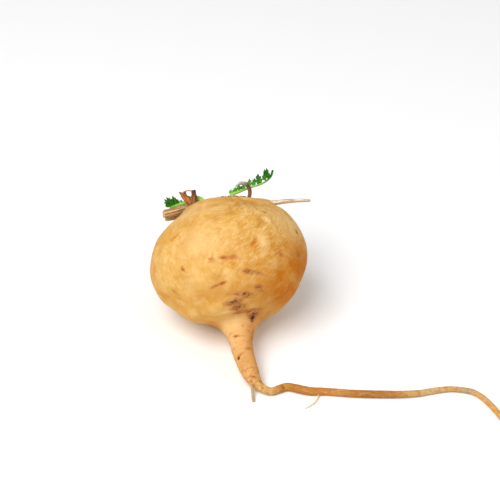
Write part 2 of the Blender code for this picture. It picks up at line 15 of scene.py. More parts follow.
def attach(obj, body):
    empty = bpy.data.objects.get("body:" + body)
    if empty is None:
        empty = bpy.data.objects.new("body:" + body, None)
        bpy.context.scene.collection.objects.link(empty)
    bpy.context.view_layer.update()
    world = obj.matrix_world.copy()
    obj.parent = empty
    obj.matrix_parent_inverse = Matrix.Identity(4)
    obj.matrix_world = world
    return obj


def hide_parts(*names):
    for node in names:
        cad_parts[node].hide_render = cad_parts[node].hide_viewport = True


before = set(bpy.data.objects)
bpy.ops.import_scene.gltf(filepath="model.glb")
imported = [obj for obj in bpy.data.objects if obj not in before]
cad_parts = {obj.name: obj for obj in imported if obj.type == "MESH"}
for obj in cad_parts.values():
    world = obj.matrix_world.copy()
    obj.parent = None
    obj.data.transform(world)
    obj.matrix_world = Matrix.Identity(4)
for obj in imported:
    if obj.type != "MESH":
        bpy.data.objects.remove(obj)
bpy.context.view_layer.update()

MM = 0.001
SEED = 11

# The camera's and lights' places and the lights' size are in metres, their power in watts.
CAMERA_PLACE = (0.007405, -0.379906, 0.32091)
CAMERA_HEIGHT_ANGLE = 38     # degrees above the horizon
CAMERA_LENS = 109.19
LIGHTS = {"key": ((-0.25, -0.36, 0.7), 6.0), "fill": ((0.55, -0.15, 0.5), 0.85)}
LIGHT_AIM, LIGHT_SIZE = (0, -0.01, 0.02), 0.5
SURROUND_STRENGTH = 0.45

# The body is a flattened ball. Its axis runs from the crown, down and forward, to the taproot's neck.
BODY_RADIUS = 25.0
BODY_HALF_LENGTH = 20.6
BODY_CENTRE = Vector((0.6, -4.0, 22.4))
AXIS_DIP = math.radians(36.5)
AXIS_TURN = math.radians(8.6)
AXIS = Vector((math.cos(AXIS_DIP) * math.sin(AXIS_TURN),
               -math.cos(AXIS_DIP) * math.cos(AXIS_TURN),
               -math.sin(AXIS_DIP)))
RIGHT = (Vector((1, 0, 0)) - AXIS.x * AXIS).normalized()
FRONT = AXIS.cross(RIGHT)
BROAD_LUMP = 0.45
LUMP_SIZE = 15.0

# (distance along the axis from the body's middle, radius): the crown's hollow, its rim, and the neck.
HOLLOW = ((-14.0, 0.0), (-14.1, 3.0), (-14.4, 6.0), (-15.0, 8.8), (-16.2, 10.7), (-17.5, 11.7),
          (-18.2, 12.7), (-18.0, 13.9), (-17.1, 15.4))
BALL_FROM, BALL_TO, BALL_STEP = 44, 158, 6     # degrees round the flattened ball, from the crown's pole
NECK = ((20.7, 6.9), (22.2, 5.6), (24.0, 4.7), (26.0, 4.1), (27.7, 3.7), (29.6, 3.45), (32.0, 3.25),
        (34.4, 3.05), (36.6, 2.85), (38.6, 2.6), (40.2, 2.2), (41.9, 1.74), (43.4, 1.44), (44.9, 1.27))
TAPROOT_ROUTE = ((3.5, -20.4, 10.4), (4.1, -24.0, 9.2), (4.8, -28.4, 8.2), (6.0, -32.2, 6.2),
                 (7.3, -35.5, 4.6), (8.7, -38.0, 3.2), (10.5, -39.8, 2.2), (13.8, -41.1, 1.35))
# Places where the body swells or sinks: distance along the axis, degrees from the right towards the
# front, reach and height.
SWELLS = ((-15.5, 20, 6.0, 0.95), (-17.5, 165, 7.0, -2.1), (-18.5, 62, 6.5, -1.6), (1.0, 0, 6.0, 0.4),
          (9.0, 350, 6.0, -0.6), (17.5, 322, 5.0, 1.4), (17.5, 215, 6.5, -1.9), (1.0, 190, 7.0, 0.4),
          (-7.0, 180, 6.0, -0.5), (-15.8, 45, 4.0, -0.9))
# (x, y, z, radius) along the tail, which lies on the surface.
TAIL_ROUTE = ((16.3, -40.0, 1.25, 1.2), (18.6, -39.0, 1.3, 1.23), (21.5, -39.7, 1.33, 1.28),
              (25.0, -40.8, 1.32, 1.27), (30.3, -41.0, 1.2, 1.15), (39.5, -41.9, 1.2, 1.15),
              (48.0, -42.2, 1.2, 1.13), (54.7, -42.1, 1.13, 1.08), (59.6, -41.5, 1.06, 1.0),
              (64.4, -40.3, 0.99, 0.94), (68.8, -39.6, 0.92, 0.87), (72.6, -40.0, 0.92, 0.87),
              (75.4, -40.8, 0.93, 0.88), (77.6, -42.6, 0.93, 0.88), (80.0, -46.0, 0.92, 0.87),
              (82.1, -50.1, 0.9, 0.85), (85.0, -57.0, 0.75, 0.7), (89.0, -63.5, 0.6, 0.55),
              (93.8, -69.0, 0.47, 0.42), (98.5, -73.5, 0.35, 0.3))
CUT_ROOTLET = ((8.0, -38.0, 2.9, 0.45), (8.1, -41.0, 2.0, 0.45), (8.3, -43.0, 1.0, 0.45),
               (8.5, -44.6, 0.5, 0.42))
HAIR_ROOTLET = ((28.4, -41.4, 0.8, 0.3), (28.1, -43.2, 0.55, 0.2), (27.1, -45.0, 0.35, 0.21),
                (25.9, -46.2, 0.32, 0.15), (24.2, -47.5, 0.28, 0.1))

# Sides of the root's rings in each stretch. The hollow's stretch ends this far inside the rim's crest, and
# the last three start at these distances along the root.
HOLLOW_SIDES, BODY_SIDES, TAPROOT_SIDES, ELBOW_SIDES, TAIL_SIDES = 192, 384, 192, 96, 48
HOLLOW_TO, TAPROOT_FROM, ELBOW_FROM, TAIL_FROM = -2.0, 20.3, 40.5, 46.0
RING_STEP, SLENDER_STEP = 0.45, 0.36
SPINE_KNOTS = (-20.0, -10.0, 0.0, 10.0, 16.0)    # distances along the axis where the centre line is straight
RIM_FADE = 2.3               # the relief fades from this far outside the rim's crest to as far inside it
TAIL_COLOURS_LENGTH = 150.0  # the tail's colours are given as shares of this distance along the root
ROOTLET_TONE_AT = 108.0      # both rootlets have the tail's colour at this distance along the root

# Marks in the skin, by kind: distance along the root, degrees, half length, half width, tilt in degrees from
# the direction round the root, relief and strength.
MARKS = {
    "stain": (
        (5.1, 88, 1.7, 0.8, 8, -0.12, 0.95), (4.8, 94, 1.5, 0.55, -5, -0.1, 1.0),
        (5.6, 84, 1.2, 0.35, -14, 0.0, 0.7), (4.9, 103, 1.0, 0.9, 0, 0.0, 0.75),
        (5.7, 126, 0.6, 0.8, 20, -0.15, 1.05), (10.4, 62, 2.1, 0.45, -12, 0.0, 0.55),
        (9.6, 66, 1.6, 0.3, -20, 0.0, 0.5), (12.1, 104, 1.9, 0.5, 16, -0.18, 1.0),
        (11.7, 98.5, 1.4, 0.45, 20, -0.18, 1.15), (11.3, 90, 2.0, 0.5, 14, 0.0, 0.4),
        (10.6, 147, 1.0, 1.4, 10, -0.05, 0.72), (14.9, 89, 1.6, 0.4, 8, 0.0, 0.6),
        (4.6, 49, 0.8, 1.0, 30, -0.12, 0.95), (6.6, 38, 0.9, 0.9, 20, -0.05, 0.75),
        (-9.9, 55, 1.1, 0.6, -20, -0.1, 0.85), (-5.3, 128, 1.3, 0.35, 35, -0.12, 0.8),
        (-1.5, 127, 0.3, 0.3, 0, -0.05, 0.8), (-16.6, 116, 3.4, 0.5, 6, -0.1, 0.6),
        (27.2, 108, 1.0, 0.42, -10, -0.12, 1.15), (29.9, 137, 0.5, 0.4, 0, -0.05, 0.7),
        (32.7, 127, 1.1, 0.4, 25, -0.12, 0.95), (31.0, 56, 1.5, 0.6, 0, -0.1, 0.8),
        (40.2, 84, 1.0, 0.35, -20, -0.12, 1.05), (40.6, 128, 0.5, 0.35, 0, -0.05, 1.0),
        (42.4, 52, 0.5, 0.6, 0, -0.08, 0.9), (44.4, 105, 0.6, 0.5, 0, -0.08, 0.85),
        (50.6, 100, 1.4, 0.5, 0, 0.12, 1.1),
    ),
    "scab": (
        (9.4, 75, 1.5, 0.7, -10, -0.15, 1.1), (9.9, 70, 2.1, 0.5, -14, 0.1, 0.75),
        (9.0, 79, 1.8, 0.4, -6, 0.0, 0.65), (13.3, 66, 1.0, 1.1, 30, -0.15, 1.15),
        (14.3, 62, 1.2, 0.7, -30, 0.1, 0.8), (15.0, 80, 1.9, 0.9, -15, 0.15, 1.25),
        (15.0, 79, 0.9, 0.5, -10, -0.1, 1.9), (15.7, 74, 1.8, 0.8, -20, -0.15, 1.15),
        (16.6, 91, 2.3, 1.2, 10, 0.12, 1.25), (16.5, 93, 0.9, 0.35, 0, -0.1, 1.7),
        (17.9, 86, 1.8, 2.0, 0, 0.15, 1.35), (19.3, 84, 1.3, 1.3, 0, 0.2, 1.15),
        (19.3, 60, 2.2, 1.0, 10, 0.25, 1.2), (20.2, 46, 1.5, 1.8, 0, 0.1, 1.35),
        (21.1, 39, 0.8, 1.2, 0, -0.6, 2.1), (3.8, 29, 1.3, 0.8, -30, -0.12, 0.9),
        (-4.2, 26, 0.45, 0.6, 20, -0.15, 1.3), (33.0, 131, 0.4, 0.4, 25, -0.12, 1.5),
    ),
    # Painted shade: deep orange where the body, neck and taproot turn away from the key light, and in a few
    # hollows.
    "warm": (
        (19.0, 66, 5.0, 2.4, 0, 0.0, 0.55), (1.3, 72, 2.6, 0.75, 49, -0.4, 1.0),
        (-4.7, 131, 2.2, 1.2, 10, -0.1, 0.45), (-6.0, 60, 1.5, 1.4, 10, -0.25, 0.55),
        (10.8, 46, 3.8, 7.6, 0, -0.25, 1.0), (6.5, 18, 15.0, 7.5, 0, 0.0, 1.15),
        (14.0, 20, 18.0, 7.5, 0, 0.0, 1.1), (14.5, 72, 13.0, 5.0, 0, 0.0, 0.5),
        (-16.5, 80, 15.0, 2.2, 0, 0.0, 0.3), (14.5, 125, 12.0, 4.0, 0, 0.0, 0.25),
        (20.5, 15, 8.0, 5.0, 0, 0.0, 0.7), (20.0, 178, 4.0, 4.0, 0, 0.0, 0.9),
        (27.0, 12, 3.6, 8.0, 0, 0.0, 0.85), (24.0, 30, 3.2, 4.0, 0, 0.0, 0.7),
        (36.0, 20, 3.0, 7.0, 0, 0.0, 0.4), (31.0, 56, 2.0, 0.9, 0, 0.0, 0.7),
    ),
    # Partly the skin's own pale cream patches and streaks, partly painted highlights: the cream spot low on
    # the neck's front, the bright spot beside the ochre hollow near the crown, and broad brighter zones on the
    # body.
    "pale": (
        (0.0, 108, 11.0, 5.5, 0, 0.0, 0.45), (9.8, 125, 4.0, 2.2, 0, 0.0, 0.4),
        (-7.5, 36, 7.5, 5.5, 0, 0.0, 0.6), (-13.5, 122, 8.0, 4.5, 0, 0.0, 0.5),
        (-6.7, 56.5, 1.2, 1.7, 10, 0.2, 1.0), (0.8, 65, 1.4, 2.6, 10, 0.15, 0.7),
        (18.4, 108, 2.2, 0.8, 0, 0.1, 0.9), (3.8, 99, 0.8, 2.6, 15, 0.1, 0.6),
        (10.2, 70, 2.5, 0.5, -12, 0.1, 0.45),
    ),
}
SPECKS = 90                  # small marks drawn at random, anywhere but on the body's front
WRINKLES_ROUND, WRINKLE_RUN = 14.0, 2.0      # the fine wrinkles' noise: cells to a radian, length of a cell

# The crown's pieces are placed in its own frame: to the right, to the back, and outward from the body's
# middle. A fourth number is the piece's radius there. The bed, the bud and the heart are turned shapes, and
# the bed and the bud are given as distances from their middle and heights.
TUFT_UNDER = ((10.9, 17.2), (10.2, 16.45), (8.7, 15.45), (6.0, 14.8), (3.0, 14.5), (0.0, 14.4))
TUFT_TOP = ((0.0, 16.8), (3.0, 17.0), (6.0, 17.4), (8.6, 17.9), (10.3, 17.9))
BRACT_RINGS = (
    # how many, radius of the ring, lean from the axis in degrees, length, width
    (26, 9.6, 8, 4.5, 1.1),
    (17, 8.0, 34, 6.6, 1.7),
    (11, 5.6, 46, 7.4, 2.0),
    (6, 3.9, 30, 4.5, 1.5),
)
BRACT_FOOT = 16.6            # the height of the bracts' feet
BRACT_STEPS = ((0.0, 0), (0.38, -10), (0.34, 4), (0.28, 16))   # share of the length, degrees off the lean
BRACT_CEILING, CEILING_SLOPE = 21.2, 0.27    # the bracts' highest place, and its rise towards the back
CEILING_FALL = 0.0167        # how fast that place falls towards the left and the right
RIM_REACH = 10.5             # how far out a bract may stand while it is below the rim
RIM_TOP = 19.3               # the rim's height
PALE_BRACT = ((-5.6, 5.4, 17.0), (-4.3, 6.5, 19.0), (-2.2, 7.9, 20.8), (0.2, 9.2, 21.9))
PALE_BRACT_TURN, PALE_BRACT_HALF_WIDTH = math.radians(29), 1.65
LOOSE_BRACTS = 170           # small papery bracts between the others
FIBRES = 560                 # short dry fibres, most of them near the rim
FIBRE_FOOT, FIBRE_SLOPE = 16.65, 0.12        # the height of their feet at the middle, and its rise outwards
HEART_CENTRE = (1.0, -1.6, 17.3)
HEART_RADIUS, HEART_HEIGHT = 2.5, 1.9
GRAIN_SIZE, GRAIN_HEIGHT = 0.95, 0.35
CRUMB_SIZE = 0.38 * GRAIN_SIZE
BUD_BASE = (-1.4, -4.4, 16.4)
BUD_PROFILE = ((0.0, -0.1), (0.45, 0.0), (0.55, 0.4), (0.62, 1.1), (0.5, 1.9), (0.28, 2.6), (0.0, 3.0))

LEAF_RIGHT_ROUTE = ((-3.0, 3.0, 15.8, 0.62), (-1.2, 2.8, 18.6, 0.6), (1.2, 2.0, 20.8, 0.56),
                    (3.7, 1.2, 22.4, 0.52), (6.7, 1.2, 23.3, 0.48), (10.2, 1.5, 24.3, 0.45),
                    (13.8, 2.0, 25.2, 0.42), (15.9, 2.5, 26.5, 0.38), (17.2, 3.0, 28.0, 0.36),
                    (17.8, 3.0, 29.6, 0.34))
LEAF_LEFT_ROUTE = ((-2.8, 0.2, 15.8, 0.62), (-3.5, 0.6, 18.6, 0.62), (-5.5, 1.0, 20.4, 0.75),
                   (-6.6, 1.5, 22.1, 0.9), (-7.8, 1.9, 22.6, 0.9), (-8.9, 2.5, 22.8, 0.7),
                   (-11.3, 3.0, 22.2, 0.58), (-13.9, 3.0, 21.5, 0.54), (-16.6, 3.0, 21.0, 0.44))
# Leaflets: share of the stalk's length where each stands, its length, its lean to the tip in degrees, how
# far it is folded up, and its share of dark green.
LEAF_RIGHT_BLADE = (
    (0.36, 2.0, 45, 55, 0.35), (0.41, 2.4, 32, 62, 0.55), (0.46, 2.6, 26, 66, 0.6), (0.51, 2.4, 30, 66, 0.5),
    (0.60, 3.0, 20, 70, 0.6), (0.645, 2.8, 26, 68, 0.7), (0.715, 4.3, 18, 76, 0.95), (0.76, 2.2, 8, 66, 0.7),
    (0.825, 2.8, 10, 68, 0.8), (0.87, 3.9, 28, 76, 0.95), (0.90, 1.8, 34, 60, 0.9),
)
LEAF_LEFT_BLADE = (
    (0.70, 1.4, 15, 60, 0.4), (0.77, 1.5, 6, 62, 0.6), (0.82, 2.3, 10, 66, 0.95), (0.865, 3.9, 4, 70, 1.0),
    (0.92, 2.7, 6, 66, 1.0), (0.955, 3.9, 22, 68, 1.0), (0.99, 2.4, 40, 58, 0.95),
)

# Shares of each leaf stalk's length, and its share of dark green and its breadth there.
RIGHT_RIB = ((0.0, 0.45, 0.65, 0.8, 0.88, 0.95, 1.0), (0.0, 0.1, 0.2, 0.45, 1.0, 1.25, 1.35),
             (1.0, 1.0, 0.8, 0.75, 1.0, 2.1, 1.3))
LEFT_RIB = ((0.0, 0.45, 0.7, 1.0), (0.0, 0.15, 0.05, 0.5), (1.0, 1.1, 1.2, 0.8))

DRY_STALKS = (
    ((-5.0, 0.6, 16.2, 0.9), (-7.2, 0.5, 18.7, 0.85), (-9.8, 0.4, 19.8, 0.8), (-12.6, 0.4, 19.7, 0.78),
     (-15.6, 0.4, 19.25, 0.86), (-18.3, 0.4, 18.8, 0.86)),
    ((-5.6, 5.2, 16.2, 0.8), (-7.2, 5.4, 18.8, 0.8), (-9.2, 5.5, 20.1, 0.8), (-11.4, 5.5, 20.3, 0.82),
     (-15.0, 5.5, 19.8, 0.82), (-18.5, 5.5, 19.3, 0.8)),
    ((-6.2, 6.8, 16.7, 0.72), (-8.6, 7.6, 18.8, 0.72), (-11.4, 8.2, 19.5, 0.74), (-14.6, 8.5, 19.2, 0.76),
     (-18.0, 8.5, 18.9, 0.72)),
    ((3.2, 7.2, 16.6, 0.85), (5.0, 9.2, 19.8, 0.85), (7.4, 11.6, 21.8, 0.88), (10.2, 14.2, 22.2, 0.84)),
    ((-1.8, 8.0, 16.7, 0.7), (-2.6, 10.4, 20.2, 0.7), (-3.4, 13.2, 22.0, 0.72)),
)
PALE_STALK = ((7.2, 1.6, 16.7, 0.6), (9.6, 1.7, 19.1, 0.68), (12.6, 1.9, 19.5, 0.76),
              (16.1, 2.1, 18.5, 0.76), (20.5, 3.0, 18.6, 0.66), (25.0, 4.0, 18.7, 0.56),
              (28.2, 4.8, 18.55, 0.44))
HOOKED_STALK = ((6.6, -2.0, 16.8, 0.4), (8.6, -2.2, 19.2, 0.42), (9.4, -2.2, 21.2, 0.46),
                (9.3, -2.2, 23.1, 0.52), (8.4, -2.2, 24.4, 0.52), (6.8, -2.2, 24.8, 0.46),
                (5.8, -2.2, 24.3, 0.36))
HOOK_PALENESS = ((0.0, 0.68, 0.84, 1.0), (0.0, 0.0, 0.8, 1.0))    # shares of its length, and how pale it is
# A stalk's colours, from 0 to 255: its base, its streaks, its lightest fibres and its end. Then how far the
# streaks' colour covers its underside as painted shade.
STALK_LOOKS = {
    "dry_stalk": ((218, 180, 128), (148, 100, 54), (248, 232, 208), (224, 192, 144), 0.75),
    "pale_stalk": ((242, 224, 200), (196, 152, 120), (252, 244, 232), (226, 206, 178), 0.8),
    "dark_stalk": ((120, 80, 50), (72, 42, 26), (172, 140, 110), (208, 198, 188), 0.0),
}
CUT_END = ((0.94, 0.14), (0.76, 0.28), (0.42, 0.34))     # a cut end is rounded off: radius factor, step on
# The dry leaf base's two arms: places along each, with its half width there.
TATTER_ARMS = (
    ((-8.4, -1.5, 16.7, 1.0), (-8.6, -1.5, 19.5, 1.25), (-8.8, -1.5, 21.5, 1.25), (-8.7, -1.5, 22.4, 1.15),
     (-8.5, -1.5, 23.2, 0.8), (-8.5, -1.5, 24.5, 0.8)),
    ((-8.8, -1.5, 17.3, 0.9), (-9.5, -1.5, 19.6, 1.35), (-10.4, -1.5, 21.2, 1.5), (-11.1, -1.5, 22.3, 1.45),
     (-11.7, -1.5, 23.1, 1.05), (-12.1, -1.5, 24.2, 1.3)),
)
# Each arm's turn at its foot and tip, its cup, and its darkness at these shares of its length.
TATTER_SHARES = (0.0, 0.3, 0.6, 0.85, 1.0)
TATTER_LOOKS = (((0.2, -0.5), 0.45, (0.35, 0.45, 0.4, 0.75, 0.9)),
                ((-0.25, 0.45), -0.4, (0.3, 0.3, 0.0, 0.05, 0.3)))
TATTER_THREAD = ((-11.6, -1.5, 24.3, 0.2), (-10.2, -1.4, 24.6, 0.15), (-8.8, -1.5, 24.3, 0.2))


def distances(points):
    """How far along a line each of its points lies."""
    return np.concatenate([[0.0], np.cumsum(np.linalg.norm(np.diff(points, axis=0), axis=1))])


def turn_angles(count):
    """So many angles evenly round a turn."""
    return 2.0 * np.pi * np.arange(count) / count


def smooth_curve(points, spacing):
    """Evenly spaced points on the smooth curve through the given points, which may have any dimension."""
    points = np.array(points, float)
    knots = distances(points)
    slopes = np.gradient(points, knots, axis=0)
    places = np.linspace(0.0, knots[-1], max(2, round(knots[-1] / spacing) + 1))
    cell = np.clip(np.searchsorted(knots, places, side="right") - 1, 0, len(knots) - 2)
    span = (knots[cell + 1] - knots[cell])[:, None]
    t = (places - knots[cell])[:, None] / span
    return ((2 * t**3 - 3 * t**2 + 1) * points[cell] + (t**3 - 2 * t**2 + t) * span * slopes[cell]
            + (3 * t**2 - 2 * t**3) * points[cell + 1] + (t**3 - t**2) * span * slopes[cell + 1])


def noise_at(places, shift=0.0):
    """Smooth noise from about -1 to 1 at each place."""
    return np.array([noise.noise(Vector(p)) for p in (places + shift).tolist()])


def smoothstep(value, low, high):
    """A smooth step from 0 to 1 as the value goes from low to high."""
    t = np.clip((value - low) / (high - low), 0.0, 1.0)
    return t * t * (3 - 2 * t)


def carried_frames(points, first_side):
    """Unit directions ahead, to the side and up along a line, carried along it without a twist."""
    tangents = np.gradient(points, axis=0)
    aheads, sides, ups = [], [], []
    side = Vector(first_side)
    for tangent in tangents:
        ahead = Vector(tangent).normalized()
        side = (side - side.dot(ahead) * ahead).normalized()
        aheads.append(tuple(ahead))
        sides.append(tuple(side))
        ups.append(tuple(ahead.cross(side)))
    return np.array(aheads), np.array(sides), np.array(ups)


def to_row(places):
    """Turns places in the crown's frame, X right, Y back and Z out of the crown, into the row's frame."""
    places = np.asarray(places, float)
    axes = np.array([tuple(RIGHT), tuple(-FRONT), tuple(-AXIS)])
    return np.array(tuple(BODY_CENTRE)) + places @ axes


class Shape:
    """Gathers places, faces and named point values for one piece."""

    def __init__(self, *names):
        self.places = []
        self.faces = []
        self.values = {name: [] for name in names}

    def add(self, places, faces, **values):
        start = len(self.places)
        self.places.extend(np.asarray(places).tolist())
        self.faces.extend(tuple(start + v for v in face) for face in faces)
        for name, held in self.values.items():
            held.extend(np.broadcast_to(values.get(name, 0.0), len(places)).tolist())

    def tube(self, rings, **values):
        """Skins rings of places and closes both ends. A value is one number, or one a ring or a place."""
        rings = np.asarray(rings, float)
        turns, count = rings.shape[:2]
        faces = [(i * count + k, i * count + (k + 1) % count, (i + 1) * count + (k + 1) % count,
                  (i + 1) * count + k) for i in range(turns - 1) for k in range(count)]
        first, last = turns * count, (turns - 1) * count
        faces += [((k + 1) % count, k, first) for k in range(count)]
        faces += [(last + k, last + (k + 1) % count, first + 1) for k in range(count)]
        places = np.concatenate([rings.reshape(-1, 3), rings[[0, -1]].mean(axis=1)])
        spread = {}
        for name, value in values.items():
            grid = np.broadcast_to(value, (turns, count))
            spread[name] = np.concatenate([grid.ravel(), grid[[0, -1]].mean(axis=1)])
        self.add(places, faces, **spread)

    def mesh(self, name):
        mesh = bpy.data.meshes.new(name)
        mesh.from_pydata((np.array(self.places) * MM).tolist(), [], self.faces)
        for value, numbers in self.values.items():
            mesh.attributes.new(value, "FLOAT", "POINT").data.foreach_set("value", numbers)
        bm = bmesh.new()
        bm.from_mesh(mesh)
        bmesh.ops.recalc_face_normals(bm, faces=bm.faces)
        bm.to_mesh(mesh)
        bm.free()
        mesh.shade_smooth()
        return mesh


def piece(name, shape, material, slot, *nodes):
    """One visible piece in place of its CAD nodes."""
    thing = bpy.data.objects.new(name, shape.mesh(name))
    bpy.context.scene.collection.objects.link(thing)
    thing.data.materials.append(material)
    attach(thing, "root")
    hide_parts(*nodes)
    return thing


def srgb(red, green, blue):
    """A linear colour from 0 to 255 screen values."""
    levels = [c / 255 for c in (red, green, blue)]
    return tuple(c / 12.92 if c <= 0.04045 else ((c + 0.055) / 1.055) ** 2.4 for c in levels)


class Paint:
    """Builds one node material. Sizes are in millimetres."""

    def __init__(self, name, roughness, specular=0.35):
        self.material = bpy.data.materials.new(name)
        self.material.use_nodes = True
        self.tree = self.material.node_tree
        self.shader = self.tree.nodes["Principled BSDF"]
        self.shader.inputs["Roughness"].default_value = roughness
        self.shader.inputs["Specular IOR Level"].default_value = specular
        coordinates = self.tree.nodes.new("ShaderNodeTexCoord")
        self.place = self.node("ShaderNodeVectorMath", operation="SCALE",
                               inputs={"Vector": coordinates.outputs["Object"], "Scale": 1 / MM}).outputs[0]

    def node(self, kind, inputs=None, **settings):
        made = self.tree.nodes.new(kind)
        for key, value in settings.items():
            setattr(made, key, value)
        for key, value in (inputs or {}).items():
            if isinstance(value, bpy.types.NodeSocket):
                self.tree.links.new(value, made.inputs[key])
            elif value is not None:
                made.inputs[key].default_value = value
        return made

    def point_value(self, name):
        return self.node("ShaderNodeAttribute", attribute_name=name).outputs["Fac"]

    def math(self, operation, first, second=0.5, third=None):
        return self.node("ShaderNodeMath", {0: first, 1: second, 2: third}, operation=operation).outputs[0]

    def times(self, first, *others):
        """The product of two or more values."""
        for other in others:
            first = self.math("MULTIPLY", first, other)
        return first

    def plus(self, first, *others):
        """The sum of two or more values."""
        for other in others:
            first = self.math("ADD", first, other)
        return first

    def varied(self, value, by, spread):
        """The value, moved up and down by noise over a spread of levels."""
        return self.plus(value, self.math("MULTIPLY_ADD", by, spread, -spread / 2))

    def combine(self, x, y, z):
        return self.node("ShaderNodeCombineXYZ", {"X": x, "Y": y, "Z": z}).outputs[0]

    def noise(self, size, detail=3.0, rough=0.55, twist=0.0, place=None, stretch=None):
        """Noise from 0 to 1 with features of about so many millimetres, stretched along an axis if asked."""
        place = place or self.place
        if stretch:
            place = self.node("ShaderNodeVectorMath", {0: place, 1: stretch}, operation="DIVIDE").outputs[0]
        return self.node("ShaderNodeTexNoise", {"Vector": place, "Scale": 1 / size, "Detail": detail,
                                                "Roughness": rough, "Distortion": twist}).outputs["Fac"]

    def step(self, value, low, high, to_low=0.0, to_high=1.0):
        """A smooth step from one level to another as the value goes from low to high."""
        return self.node("ShaderNodeMapRange", {"Value": value, "From Min": low, "From Max": high,
                                                "To Min": to_low, "To Max": to_high},
                         interpolation_type="SMOOTHSTEP").outputs["Result"]

    def mix(self, factor, first, second, blend="MIX"):
        made = self.tree.nodes.new("ShaderNodeMix")
        made.data_type = "RGBA"
        made.blend_type = blend
        for index, value in ((0, factor), (6, first), (7, second)):
            if isinstance(value, bpy.types.NodeSocket):
                self.tree.links.new(value, made.inputs[index])
            elif index == 0:
                made.inputs[index].default_value = value
            else:
                made.inputs[index].default_value = (*value, 1.0)
        return made.outputs[2]

    def cover(self, colour, top, value, low, high, most=1.0):
        """The colour, covered by another one as the value goes from low to high, at most by a share."""
        return self.mix(self.step(value, low, high, 0.0, most), colour, top)

    def tinted(self, colour, factors):
        """The colour, with its red, green and blue multiplied by factors."""
        return self.mix(1.0, colour, factors, "MULTIPLY")

    def ramp(self, value, stops):
        """A colour that changes between (level, colour) stops."""
        made = self.node("ShaderNodeValToRGB", {"Fac": value})
        elements = made.color_ramp.elements
        while len(elements) < len(stops):
            elements.new(0.5)
        for element, (level, colour) in zip(elements, stops):
            element.position = level
            element.color = (*colour, 1.0)
        return made.outputs["Color"]

    def soften(self, weight, radius, scale):
        """Lets light go a little way into the surface."""
        self.shader.inputs["Subsurface Weight"].default_value = weight
        self.shader.inputs["Subsurface Radius"].default_value = radius
        self.shader.inputs["Subsurface Scale"].default_value = scale * MM

    def finish(self, colour, height=None, depth=0.1, roughness=None):
        """Joins the colour, and a height map whose full range stands for a depth in millimetres."""
        self.tree.links.new(colour, self.shader.inputs["Base Color"])
        if roughness is not None:
            self.tree.links.new(roughness, self.shader.inputs["Roughness"])
        if height is not None:
            bump = self.node("ShaderNodeBump", {"Height": height, "Distance": depth * MM, "Strength": 1.0})
            self.tree.links.new(bump.outputs["Normal"], self.shader.inputs["Normal"])
        return self.material


def body_colour(paint, along, patches):
    """Golden and mottled, with painted shade in the creases, browner inside the rim, creamy at the neck and
    tan below it.
    """
    colour = paint.mix(paint.step(paint.noise(8.0, 3.0, 0.55, 0.5), 0.38, 0.62),
                       srgb(213, 161, 79), srgb(222, 176, 102))
    colour = paint.cover(colour, srgb(232, 192, 130), patches, 0.52, 0.74, 0.6)
    colour = paint.cover(colour, srgb(204, 146, 56), patches, 0.5, 0.3, 0.6)
    # Painted shade: browner where the fine relief sinks into creases and knots.
    colour = paint.mix(paint.point_value("crease_shade"), colour, srgb(190, 128, 48))
    rim = paint.step(paint.point_value("flow_z"), 0.5, -0.1, 0.0, 0.7)
    colour = paint.mix(paint.times(rim, paint.step(patches, 0.3, 0.6, 1.0, 0.5)), colour, srgb(150, 96, 54))
    colour = paint.cover(colour, srgb(232, 192, 134), along, 18.0, 23.0, 0.7)
    return paint.cover(colour, srgb(206, 150, 84), along, 27.0, 36.0, 0.6)


def tail_colour(paint, along):
    """From tan to reddish brown and back along the tail, with blotches and streaks."""
    colour = paint.ramp(paint.math("DIVIDE", along, TAIL_COLOURS_LENGTH), (
        (0.26, srgb(232, 186, 126)), (0.285, srgb(222, 182, 112)), (0.3, srgb(226, 188, 118)),
        (0.313, srgb(222, 178, 120)), (0.331, srgb(192, 132, 60)), (0.343, srgb(205, 154, 66)),
        (0.363, srgb(190, 128, 62)), (0.427, srgb(205, 138, 70)), (0.46, srgb(212, 152, 90)),
        (0.492, srgb(180, 122, 60)), (0.545, srgb(182, 126, 66)), (0.573, srgb(194, 138, 78)),
        (0.6, srgb(204, 164, 106)), (0.64, srgb(220, 190, 140)), (0.695, srgb(218, 172, 104)),
        (0.722, srgb(190, 176, 140)), (0.745, srgb(224, 178, 124)), (0.8, srgb(226, 174, 102))))
    colour = paint.tinted(colour, (0.86, 0.83, 0.74))
    colour = paint.cover(colour, srgb(176, 108, 52), paint.noise(1.4, 4.0, 0.65), 0.45, 0.75, 0.5)
    streak = paint.noise(0.5, 3.0, 0.65, 0.4, stretch=(6.0, 1.0, 1.0))
    colour = paint.cover(colour, paint.tinted(colour, (0.72, 0.6, 0.5)), streak, 0.5, 0.34, 0.6)
    return paint.cover(colour, srgb(228, 184, 130), streak, 0.53, 0.7, 0.5)


def elbow_mottle(paint, colour, along):
    """Small dark and light mottles where the taproot bends into the tail."""
    elbow = paint.times(paint.step(along, 33.0, 40.0), paint.step(along, 52.0, 46.0))
    mottle = paint.noise(0.8, 3.0, 0.6, 0.6)
    for high, most, spot in ((0.36, 0.7, srgb(178, 112, 52)), (0.64, 0.45, srgb(226, 196, 140))):
        colour = paint.mix(paint.times(elbow, paint.step(mottle, 0.5, high, 0.0, most)), colour, spot)
    return colour


def wrinkle_shade_and_highlight(paint, colour, wrinkle, wrinkled):
    """Painted shade in the fine wrinkles' troughs, golden, and painted highlights on their crests, creamy."""
    trough = paint.times(wrinkled, paint.step(wrinkle, 0.5, 0.34, 0.0, 0.8))
    colour = paint.mix(trough, colour, paint.tinted(colour, (0.86, 0.74, 0.4)))
    crest = paint.times(wrinkled, paint.step(wrinkle, 0.53, 0.68, 0.0, 0.5))
    return paint.mix(crest, colour, srgb(240, 206, 146))


